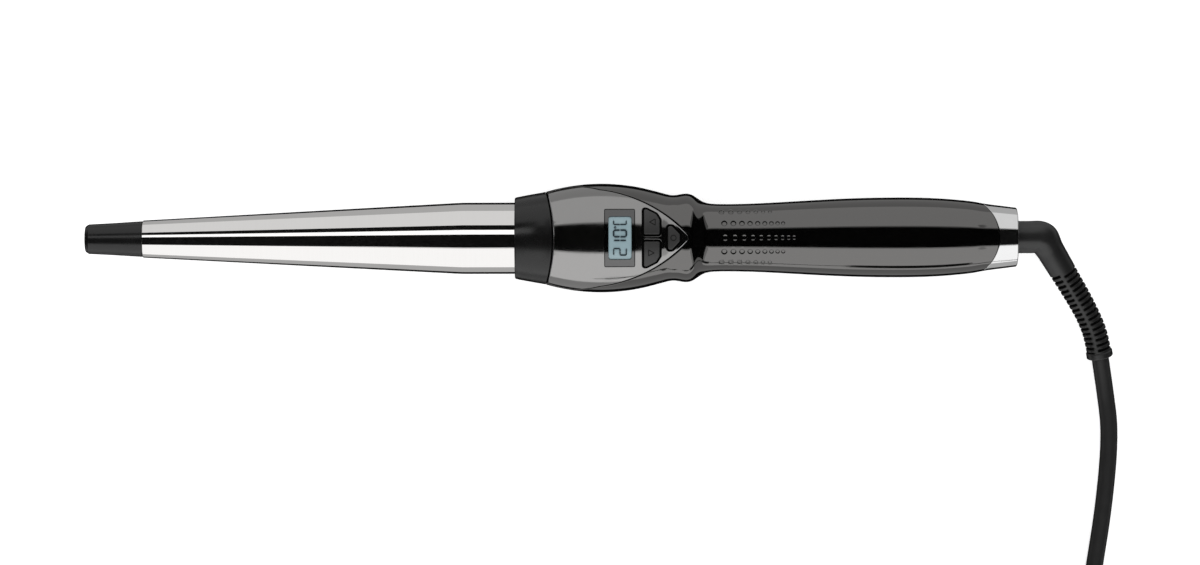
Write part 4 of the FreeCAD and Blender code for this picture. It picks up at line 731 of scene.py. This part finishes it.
# The shell's wall down at its seams takes the near-black finish, painted shade in the gap.
rim(form, outline, SHELL_EDGE, 2.0, wall_mark=1)
# the floor under the panel, clear of the pressed keys' walls, in the near-black finish: a dark sheet of
# painted shade
patch(form, grown(panel_edge, 0.1), [], 1.5, lift=-1.95, mark=1)
form.piece("upper_shell_skin", WAND, "shell_gloss", "upper_shell", FINISHES["shell_gloss"], painted_gap_shade_black)

outline = np.vstack(sides_and_rear + [head_front_line(SIDE, -SIDE)[:-1]])
wells = [on_skin(circle(x, y, WELL_RADIUS, 36)) for x, y in ((20, 14), (20, -14), (74, 0), (118, 0))]
form = Form()
patch(form, grown(outline, -SHELL_EDGE), [grown(w, WELL_EDGE) for w in wells], 0.9, under=True,
      extra=np.array(neck_seeds(0.7)))
rim(form, outline, SHELL_EDGE, 1.3, under=True)
for well in wells:
    top, normal = skin(grown(well, WELL_EDGE), 0.0, True)
    wall, _ = skin(well, 0.0, True)
    rows = [top] + [wall + (0, 0, deep) for deep in (0.2, 3, WELL_DEEP)]
    form.sheet(rows, outward=normal)
form.piece("lower_shell_skin", WAND, "shell_gloss", "lower_shell")

# ---- end ring ----
RING_EDGE, RING_WALL, RING_BORE, RING_LIP = 0.22, 1.4, 9.92, 0.7
seam = rear_seam(S_UNIT * TURNS) + SEAM
rows = [ring_at(seam, radius_at(seam) - RING_WALL)]
for a in spread(math.pi / 2, 0, 6):
    x = seam + RING_EDGE * (1 - math.sin(a))
    rows.append(ring_at(x, radius_at(x) - RING_EDGE * (1 - math.cos(a))))
for t in spread(0.04, 1, 26):
    x = (seam + RING_EDGE) * (1 - t) + (ring_x - RING_LIP) * t
    rows.append(ring_at(x, radius_at(x)))
end_r = float(radius_at(ring_x - RING_LIP))
rows += turned_rows(soft_profile([(ring_x - RING_LIP, end_r), (ring_x, end_r - 0.1), (ring_x, RING_BORE),
                                  (ring_x - 2.6, RING_BORE)], {1: 0.42, 2: 0.15}, 0.8)[1:])
form = Form()
form.sheet(rows)
form.piece("end_ring_skin", WAND, "chrome", "end_ring")

# ---- display ----
GLASS_LIFT, DIGIT_LIFT = -0.45, -0.39
lcd_plan = softened([(20.0, -7.5), (28.0, -7.5), (28.0, 7.5), (20.0, 7.5)], 0.9)
lcd_loop = even(on_skin(even(lcd_plan, 0.3)), 0.3)
form = Form()
patch(form, grown(window_loop, -0.1), [grown(lcd_loop, 0.06)], 0.6, lift=-0.03)
rim(form, window_loop, 0.1, 0.9)
rim(form, lcd_loop, 0.06, 0.55, side=-1)
form.piece("display_window_skin", WAND, "lens_dark", "display_window")
form = Form()
patch(form, grown(lcd_loop, 0.05), [], 0.6, lift=GLASS_LIFT)
rim(form, grown(lcd_loop, 0.05), SHARP, 1.6)

SEGMENTS = {"2": "abged", "1": "bc", "0": "abcdef", "C": "adef"}


def segment_bars(text, left, width, base, height, thick):
    """Bars of one seven-segment sign: left to right is +Y, upward is -X."""
    w, h, t = width, height, thick
    lines = {"a": ((0, h), (w, h)), "b": ((w, h), (w, h / 2)), "c": ((w, h / 2), (w, 0)),
             "d": ((0, 0), (w, 0)), "e": ((0, 0), (0, h / 2)), "f": ((0, h / 2), (0, h)),
             "g": ((0, h / 2), (w, h / 2))}
    bars = []
    for letter in SEGMENTS[text]:
        (u0, v0), (u1, v1) = lines[letter]
        a, b = np.array((u0, v0), float), np.array((u1, v1), float)
        way = (b - a) / np.linalg.norm(b - a)
        across = np.array([-way[1], way[0]]) * t / 2
        a, b = a + way * t * 0.12, b - way * t * 0.12
        tip_a, tip_b = a + way * t / 2, b - way * t / 2
        bars.append([(base - v, left + u) for u, v in
                     (a, tip_a + across, tip_b + across, b, tip_b - across, tip_a - across)])
    return bars


DIGIT_BASE, DIGIT_HEIGHT = 26.2, 4.4
bars = []
for text, left, width, thick in (("2", -6.0, 2.3, 0.36), ("1", -2.95, 2.1, 0.5), ("0", 0.45, 2.3, 0.55),
                                 ("C", 4.75, 1.4, 0.36)):
    bars += segment_bars(text, left, width, DIGIT_BASE, DIGIT_HEIGHT, thick)
for bar in bars:
    loop = even(on_skin(bar), 0.4)
    if area(loop) < 0:
        loop = loop[::-1]
    patch(form, loop, [], 0.5, lift=DIGIT_LIFT, mark=1)
    rim(form, loop, SHARP, 0.44, mark=1)
degree = on_skin(circle(22.3, 3.75, 0.45, 20))
patch(form, degree, [grown(degree, -0.28)], 0.3, lift=DIGIT_LIFT, mark=1)
form.piece("display_glass_skin", WAND, "lcd_glass", "display_glass", FINISHES["lcd_glass"], digit_dark)


# ---- keys ----
KEY_RISE, KEY_EDGE, KEY_DEEP, SIGN_WIDE, SIGN_DEEP = 0.3, 0.3, 1.6, 0.26, 0.16


def make_key(name, body, sign):
    """A key's cap with a sign engraved in it; sign is the outer loop of the engraved line."""
    loop = key_loops[name]
    inner = grown(sign, -SIGN_WIDE)
    form = Form()
    patch(form, grown(loop, -KEY_EDGE), [sign], 0.45, lift=KEY_RISE)
    patch(form, inner, [], 0.4, lift=KEY_RISE)
    steps = rounding(KEY_EDGE, KEY_RISE) + [(0.0, KEY_RISE - KEY_DEEP)]
    rows = [skin(grown(loop, by), lift)[0] for by, lift in steps]
    form.sheet(rows, outward=skin(loop, 0.0)[1])
    # The engraved sign's walls and floor take the near-black finish, painted shade in the engraving.
    for line, side in ((sign, 1), (inner, -1)):
        rows = [skin(line, KEY_RISE)[0], skin(grown(line, -side * 0.02), KEY_RISE - SIGN_DEEP)[0]]
        form.sheet(rows, outward=skin(line, 0.0)[1], mark=1)
    patch(form, sign, [inner], 0.3, lift=KEY_RISE - SIGN_DEEP, mark=1)
    form.piece(name + "_cap", body, "key_grey", name, FINISHES["key_grey"], slot_painted_shade)


def arrow_sign(corners):
    loop = even(on_skin(softened(corners, 0.12, 4)), 0.2)
    return loop[::-1] if area(loop) < 0 else loop


make_key("up_key", "up_key_body", arrow_sign([(34.0, 5.45), (36.4, 6.7), (36.4, 4.2)]))
make_key("down_key", "down_key_body", arrow_sign([(36.2, -5.1), (33.8, -3.9), (33.8, -6.3)]))
make_key("power_key", "power_key_body", on_skin(circle(42.6, 0, 1.05, 32)))

# ---- boot ----
DROOP = math.radians(13.8)    # how far the boot's bend leans down towards the table


def leaned(x, side):
    return (x, -side * math.cos(DROOP), AXIS - side * math.sin(DROOP))


def nurbs_curve(name, points, fine):
    """A curve object of one open NURBS spline."""
    data = bpy.data.curves.new(name, "CURVE")
    data.dimensions = "3D"
    data.resolution_u = fine
    spline = data.splines.new("NURBS")
    spline.points.add(len(points) - 1)
    for k, p in enumerate(points):
        spline.points[k].co = (p[0] * MM, p[1] * MM, p[2] * MM, 1)
    spline.order_u = 3
    spline.use_endpoint_u = True
    thing = bpy.data.objects.new(name, data)
    bpy.context.collection.objects.link(thing)
    return thing


def route_line(name, points, fine):
    """Points read from a route's own NURBS spline."""
    thing = nurbs_curve(name, points, fine)
    data = thing.data
    bpy.context.view_layer.update()
    mesh = bpy.data.meshes.new_from_object(thing.evaluated_get(bpy.context.evaluated_depsgraph_get()))
    line = np.array([tuple(v.co) for v in mesh.vertices]) / MM
    bpy.data.meshes.remove(mesh)
    bpy.data.objects.remove(thing)
    bpy.data.curves.remove(data)
    return line


BOOT_ROUTE = [(163.3, 0), (167.6, 0), (172.2, 0), (174.8, 4.1), (180.6, 13.8), (186.6, 23.8), (190.2, 31.0),
              (192.2, 36.6), (193.6, 43.7)]
line = route_line("boot_route", [leaned(x, side) for x, side in BOOT_ROUTE], 40)
lengths = np.concatenate([[0], np.cumsum(np.linalg.norm(np.diff(line, axis=0), axis=1))])
total = float(lengths[-1])
# The slots are in two rows, half a pitch apart, with a rib between them that leans round the boot.
SLOTS_FROM, SLOTS_END, PITCH, SLOT, SLOT_DEEP, SLOT_WALL = 22.5, 2.6, 2.0, 1.05, 1.2, 0.16
RIB_HALF, RIB_WALL, LEAN = 0.8, 0.35, math.radians(18)
CORNER_AT, CORNER_LONG, CORNER_BULGE = 9.3, 2.6, 0.5
END_RIM, END_RISE, END_ROUND = 2.2, 0.32, 0.5
BOOT_AROUND = 72
stations = np.unique(np.concatenate([np.arange(0, SLOTS_FROM - 1, 0.5),
                                     np.arange(SLOTS_FROM - 1, total, 0.1), [total]]))
path = np.stack([np.interp(stations, lengths, line[:, k]) for k in range(3)], 1)
smooth = np.stack([np.convolve(np.pad(path[:, k], 3, mode="edge"), np.ones(7) / 7, "valid")
                   for k in range(3)], 1)
ways = np.gradient(smooth, stations, axis=0)
ways /= np.linalg.norm(ways, axis=1, keepdims=True)
sideways = np.cross(ways, (0, 0, 1.0))
sideways /= np.linalg.norm(sideways, axis=1, keepdims=True)
above = np.cross(sideways, ways)
boot_radius = np.interp(stations, [0, 6, 9.5, 14, 26, 40, total], [5.65, 5.65, 5.5, 4.97, 4.6, 4.3, 4.35])


def slot_depth(at, a, r):
    """How deep the boot is cut, at a place along it and an angle round it."""
    late = 0.0 if math.sin(a - LEAN) > 0 else 0.5 * PITCH
    if not (SLOTS_FROM + late < at < total - SLOTS_END):
        return 0.0
    phase = (at - SLOTS_FROM - late) % PITCH
    wall = min(1.0, max(0.0, (min(phase, SLOT - phase) if phase < SLOT else -1.0) / SLOT_WALL))
    clear = abs(math.sin(a - LEAN)) * r - RIB_HALF
    return SLOT_DEEP * wall * min(1.0, max(0.0, clear / RIB_WALL))


rows, marks = [], []
for k, at in enumerate(stations):
    row, row_marks = [], []
    for j in range(BOOT_AROUND):
        a = 2 * math.pi * j / BOOT_AROUND
        r = boot_radius[k] + (CORNER_BULGE * max(0.0, -math.sin(a)) ** 2
                              * math.exp(-((at - CORNER_AT) / CORNER_LONG) ** 2))
        sunk = slot_depth(at, a, r)
        if at > total - END_RIM:
            r += END_RISE
        if at > total - END_ROUND:
            r -= (at - total + END_ROUND) ** 2 * 2.6
        r -= sunk
        row.append(path[k] + sideways[k] * r * math.sin(a) + above[k] * r * math.cos(a))
        # Faces sunk deep in a slot are marked for the near-black finish, painted shade in the slots.
        row_marks.append(sunk > 0.5)
    rows.append(row)
    marks.append(row_marks)
form = Form()
form.sheet(rows, marks=marks)
last_ring = np.array(rows[-1])
form.sheet([last_ring] + [path[-1] + (last_ring - path[-1]) * part for part in (0.7, 0.5)],
           outward=np.tile(ways[-1], (BOOT_AROUND, 1)))
boot_piece = form.piece("boot_skin", LEAD, "cord_black", "boot", boot_rubber, slot_painted_shade)

# ---- lead ----
CORD_ROUTE = [(193.6, -42.44, 6.58), (195.78, -54.94, 3.51), (197.6, -70.0, 3.05), (195.2, -96.0, 3.05),
              (191.0, -121.0, 3.05), (188.8, -142.0, 3.3), (188.45, -158.0, 3.8)]
TAIL_ROUTE = [(133.0, -213.2, 21.9), (121.0, -213.6, 20.6), (108.0, -213.4, 15.2), (95.0, -213.1, 9.0),
              (84.0, -212.9, 6.9), (78.0, -213.0, 6.85)]
CORD_RADIUS = 3.05
# The coil has four layers of three turns. They wind inward and outward by turns, and each climbs on
# the one before.
COIL_X, COIL_Y, COIL_WIDE, COIL_TIGHT = 146.5, -171.0, 42.0, 24.0
COIL_BASE, LAYER, COIL_TURNS, PER_TURN, PER_LAYER = 3.85, 6.05, 12.25, 16, 3
coil = []
for k in range(1, int(COIL_TURNS * PER_TURN)):
    turn = k / PER_TURN
    layer = min(int(turn / PER_LAYER), 3)
    part = min((turn - PER_LAYER * layer) / PER_LAYER, 1.0)
    inward = COIL_WIDE + (COIL_TIGHT - COIL_WIDE) * part
    reach = inward if layer % 2 == 0 else COIL_WIDE + COIL_TIGHT - inward
    climb = min(1.0, max(0.0, (turn - PER_LAYER * layer) / 0.3)) if layer else 1.0
    level = COIL_BASE + LAYER * (layer - 1 + climb * climb * (3 - 2 * climb) if layer else 0)
    a = -2 * math.pi * turn
    coil.append((COIL_X + reach * 1.012 * math.cos(a), COIL_Y + reach * 1.012 * math.sin(a), level))
lead_piece = nurbs_curve("lead", CORD_ROUTE + coil + TAIL_ROUTE, 6)
lead_piece.data.bevel_depth = CORD_RADIUS * MM
lead_piece.data.bevel_resolution = 8
lead_piece.data.use_fill_caps = True
lead_piece.data.materials.append(FINISHES["cord_black"])
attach(lead_piece, LEAD)
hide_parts("cord_tube", "cord_coil", "cord_tail")

# ---- strap round the coil ----
THICK, BEVEL, EDGE = 0.7, 0.2, 0.3
held = np.array([p for p in coil if tie_low[0] < p[0] < tie_high[0] and abs(p[1] - COIL_Y) < 9])
hug = CORD_RADIUS + THICK + 0.1
strap_low, strap_high = held[:, 0].min() - hug, held[:, 0].max() + hug
strap_top = min(tie_high[2], held[:, 2].max() + hug)
strap = softened([(strap_low, tie_low[2]), (strap_high, tie_low[2]), (strap_high, strap_top),
                  (strap_low, strap_top)], 3.4, 9)
strap = even(strap, 1.2)
inner = grown(strap, -THICK)
low_y, high_y = tie_low[1], tie_high[1]
section = [(strap, low_y + EDGE), (strap, 0.5 * (low_y + high_y)), (strap, high_y - EDGE),
           (grown(strap, -BEVEL), high_y), (grown(strap, -THICK + BEVEL), high_y), (inner, high_y - EDGE),
           (inner, low_y + EDGE), (grown(strap, -THICK + BEVEL), low_y), (grown(strap, -BEVEL), low_y),
           (strap, low_y + EDGE)]
form = Form()
form.sheet([[(x, y, z) for x, z in loop] for loop, y in section])
strap_piece = form.piece("cord_strap", LEAD, "black_matte", "cord_tie", strap_cloth)

# ---- plug ----
plug_y = 0.5 * (pins_low[1] + pins_high[1])
plug_z = 0.5 * (pins_low[2] + pins_high[2])
plug_front, plug_end = plug_low[0], plug_high[0]
half_w = 0.5 * (plug_high[1] - plug_low[1])
half_h = 0.5 * (plug_high[2] - plug_low[2])
# x from the front, half width, half height, squareness
PLUG_SHAPE = [(0.0, 0.93, 0.86, 5.0), (0.35, 0.97, 0.93, 5.0), (0.9, 0.995, 0.985, 5.0),
              (1.6, 1.0, 1.0, 5.0), (9.0, 1.0, 1.0, 5.0), (13.0, 0.93, 0.985, 4.6),
              (18.0, 0.79, 0.95, 4.2), (24.0, 0.62, 0.92, 3.6), (30.0, 0.47, 0.90, 3.0),
              (35.0, 0.385, 0.87, 2.6), (36.6, 0.36, 0.83, 2.4), (37.4, 0.315, 0.78, 2.2)]
GRIP_FROM, GRIP_LONG, GRIP_RIDGES, GRIP_DEEP, GRIP_SIDE = 10, 24, 8, 0.28, 0.35
NECK_FROM, NECK_WIDE, NECK_THIN, NECK_PITCH, NECK_RIB, NECK_DEEP = 36.6, 5.3, 3.75, 2.6, 1.5, 0.75
PLUG_AROUND, NECK_AROUND, PIN_AROUND = 96, 64, 48
shape = [Spline([(row[0], row[k]) for row in PLUG_SHAPE]) for k in (1, 2, 3)]
rows = []
for x in np.concatenate([[0.0, 0.1, 0.2, 0.35, 0.6, 0.9, 1.25, 1.6], np.arange(2.4, 37.5, 0.6)]):
    w, h, power = half_w * float(shape[0](x)), half_h * float(shape[1](x)), float(shape[2](x))
    row = []
    for j in range(PLUG_AROUND):
        a = 2 * math.pi * j / PLUG_AROUND
        c, s = math.cos(a), math.sin(a)
        scale = (abs(c) ** power + abs(s) ** power) ** (-1 / power)
        ridge = 0.0
        if GRIP_FROM < x < GRIP_FROM + GRIP_LONG and abs(s) > GRIP_SIDE:
            wave = max(0.0, math.sin((x - GRIP_FROM) / GRIP_LONG * math.pi * GRIP_RIDGES))
            ridge = GRIP_DEEP * wave * min(1.0, (abs(s) - GRIP_SIDE) * 4)
        row.append((plug_front + x, plug_y + w * c * scale, plug_z + (h - ridge) * s * scale))
    rows.append(row)
form = Form()
form.sheet(rows)
form.cap(rows[0], (-1, 0, 0))
neck_from, neck_to = plug_front + NECK_FROM, plug_end
rows = []
for x in np.arange(neck_from, neck_to + 0.01, 0.2):
    r = NECK_WIDE + (NECK_THIN - NECK_WIDE) * (x - neck_from) / (neck_to - neck_from)
    phase = (x - neck_from) % NECK_PITCH
    if NECK_RIB < phase and neck_from + 1.2 < x < neck_to - 1.5:
        r -= NECK_DEEP * min(1.0, (phase - NECK_RIB) / 0.25, (NECK_PITCH - phase) / 0.25)
    rows.append(pipe_ring(x, plug_y, plug_z, r, NECK_AROUND))
form.sheet(rows)
form.sheet([rows[-1], [(plug_end, plug_y + (p[1] - plug_y) * 0.75, plug_z + (p[2] - plug_z) * 0.75)
                       for p in rows[-1]]], outward=np.tile((1.0, 0, 0), (NECK_AROUND, 1)))
plug_piece = form.piece("plug_skin", LEAD, "plug_black", "plug_body")

PIN_RADIUS, PIN_BARE, SLEEVE_RADIUS = 2.0, 9.0, 1.75
pin_side = 0.5 * (pins_high[1] - pins_low[1]) - PIN_RADIUS
pin_tip, sleeve_from = pins_low[0], pins_low[0] + PIN_BARE + 0.05
pin_shape = soft_profile([(pin_tip, 0.02), (pin_tip, 1.5), (pin_tip + 1.2, PIN_RADIUS),
                          (pin_tip + PIN_BARE, PIN_RADIUS), (pin_tip + PIN_BARE, 1.3)],
                         {1: 0.4, 2: 0.8, 3: 0.1}, 0.8)
sleeve_shape = soft_profile([(sleeve_from, 1.3), (sleeve_from, SLEEVE_RADIUS),
                             (plug_front + 0.05, SLEEVE_RADIUS), (plug_front + 0.05, 2.6)],
                            {1: 0.15, 2: 0.12}, 0.8)
form, sleeves = Form(), Form()
for side in (-1, 1):
    for target, profile in ((form, pin_shape), (sleeves, sleeve_shape)):
        target.sheet([pipe_ring(x, plug_y + side * pin_side, plug_z, r, PIN_AROUND) for x, r in profile])
pins_piece = form.piece("plug_pins_skin", LEAD, "brass", "plug_pins", FINISHES["chrome"])
sleeves_piece = sleeves.piece("pin_sleeves_skin", LEAD, "plug_black", "pin_sleeves")

# ---- floor and light ----
FLOOR_REACH, FLOOR_LOW, WORLD_LEVEL = 3.0, -0.0005, 0.42
floor_mesh = bpy.data.meshes.new("floor")
floor_corners = [(x * FLOOR_REACH, y * FLOOR_REACH, 0) for x, y in ((-1, -1), (1, -1), (1, 1), (-1, 1))]
floor_mesh.from_pydata(floor_corners, [], [(0, 1, 2, 3)])
floor_mesh.materials.append(finish("floor_finish", grey(0.9), 0.9, vary=0.02, tint=0.01, scale=40,
                                   specular=0.1, glow=0.5))
floor = bpy.data.objects.new("floor", floor_mesh)
floor.location = (0, 0, FLOOR_LOW)
floor.visible_glossy = False
bpy.context.collection.objects.link(floor)

world = bpy.data.worlds.new("studio")
bpy.context.scene.world = world
world.use_nodes = True
world.node_tree.nodes["Background"].inputs["Color"].default_value = (*grey(WORLD_LEVEL), 1)


def area_light(name, place, way, wide, long, level, glossy=True, diffuse=True):
    """A soft light of an even brightness, seen by the object and not by the camera."""
    data = bpy.data.lights.new(name, "AREA")
    data.shape = "RECTANGLE"
    data.size = long
    data.size_y = wide
    data.energy = level * math.pi * wide * long
    thing = bpy.data.objects.new(name, data)
    thing.location = place
    thing.rotation_euler = Vector(way).to_track_quat("-Z", "Y").to_euler()
    thing.visible_camera = False
    thing.visible_glossy = glossy
    thing.visible_diffuse = diffuse
    bpy.context.collection.objects.link(thing)


def dark_card(name, corners):
    """A black card that only the shine on the object sees."""
    mesh = bpy.data.meshes.new(name)
    mesh.from_pydata(corners, [], [(0, 1, 2, 3)])
    mesh.materials.append(painted_gap_shade_black)
    card = bpy.data.objects.new(name, mesh)
    card.visible_camera = False
    card.visible_diffuse = False
    card.visible_shadow = False
    bpy.context.collection.objects.link(card)


def soft_side(name, side, top_angle, low_angle, distance, from_x, to_x, level):
    """A long softbox beside the wand; its angles are from straight up, seen from the wand."""
    top, low = math.radians(top_angle), math.radians(low_angle)
    top_at = np.array((math.sin(top), math.cos(top))) * distance * 1.15
    low_at = np.array((math.sin(low), math.cos(low))) * distance
    middle = (top_at + low_at) / 2
    along = low_at - top_at
    area_light(name, ((from_x + to_x) / 2, side * middle[0], AXIS * MM + middle[1]),
               (0, side * along[1], -along[0]), float(np.linalg.norm(along)), to_x - from_x, level)


soft_side("soft_front", -1, 30, 108, 1.25, -0.85, 1.0, 0.62)
soft_side("soft_back", 1, 30, 100, 1.25, -0.85, 1.0, 0.28)
# a narrow light close over the barrel, with a dark card behind it, for the barrel's bright line
STRIP_FROM, STRIP_TO, STRIP_UP = -0.172, -0.0124, AXIS * MM + 0.030
STRIP_LOW, STRIP_HIGH, CARD_UP = 0.0052, 0.0121, STRIP_UP + 0.001
area_light("strip", ((STRIP_FROM + STRIP_TO) / 2, (STRIP_LOW + STRIP_HIGH) / 2, STRIP_UP), (0, 0, -1),
           STRIP_HIGH - STRIP_LOW, STRIP_TO - STRIP_FROM, 1.2, diffuse=False)
dark_card("card_barrel", [(STRIP_FROM, -0.0205, CARD_UP), (STRIP_TO, -0.0118, CARD_UP),
                          (STRIP_TO, 0.0226, CARD_UP), (STRIP_FROM, 0.0236, CARD_UP)])
area_light("fill", (0, 0, 1.6), (0, 0, -1), 2.6, 2.6, 1.3, glossy=False)
for name, half, up in (("card_over", 1.18, 1.8), ("card_under", 0.3, -0.35)):
    dark_card(name, [(-6, -half, up), (6, -half, up), (6, half, up), (-6, half, up)])
for name, x in (("card_left", -1.6), ("card_right", 1.6)):
    dark_card(name, [(x, -2.2, 0.0), (x, 2.2, 0.0), (x, 2.2, 2.6), (x, -2.2, 2.6)])

bpy.context.scene.view_settings.view_transform = "Standard"
bpy.context.scene.view_settings.look = "None"
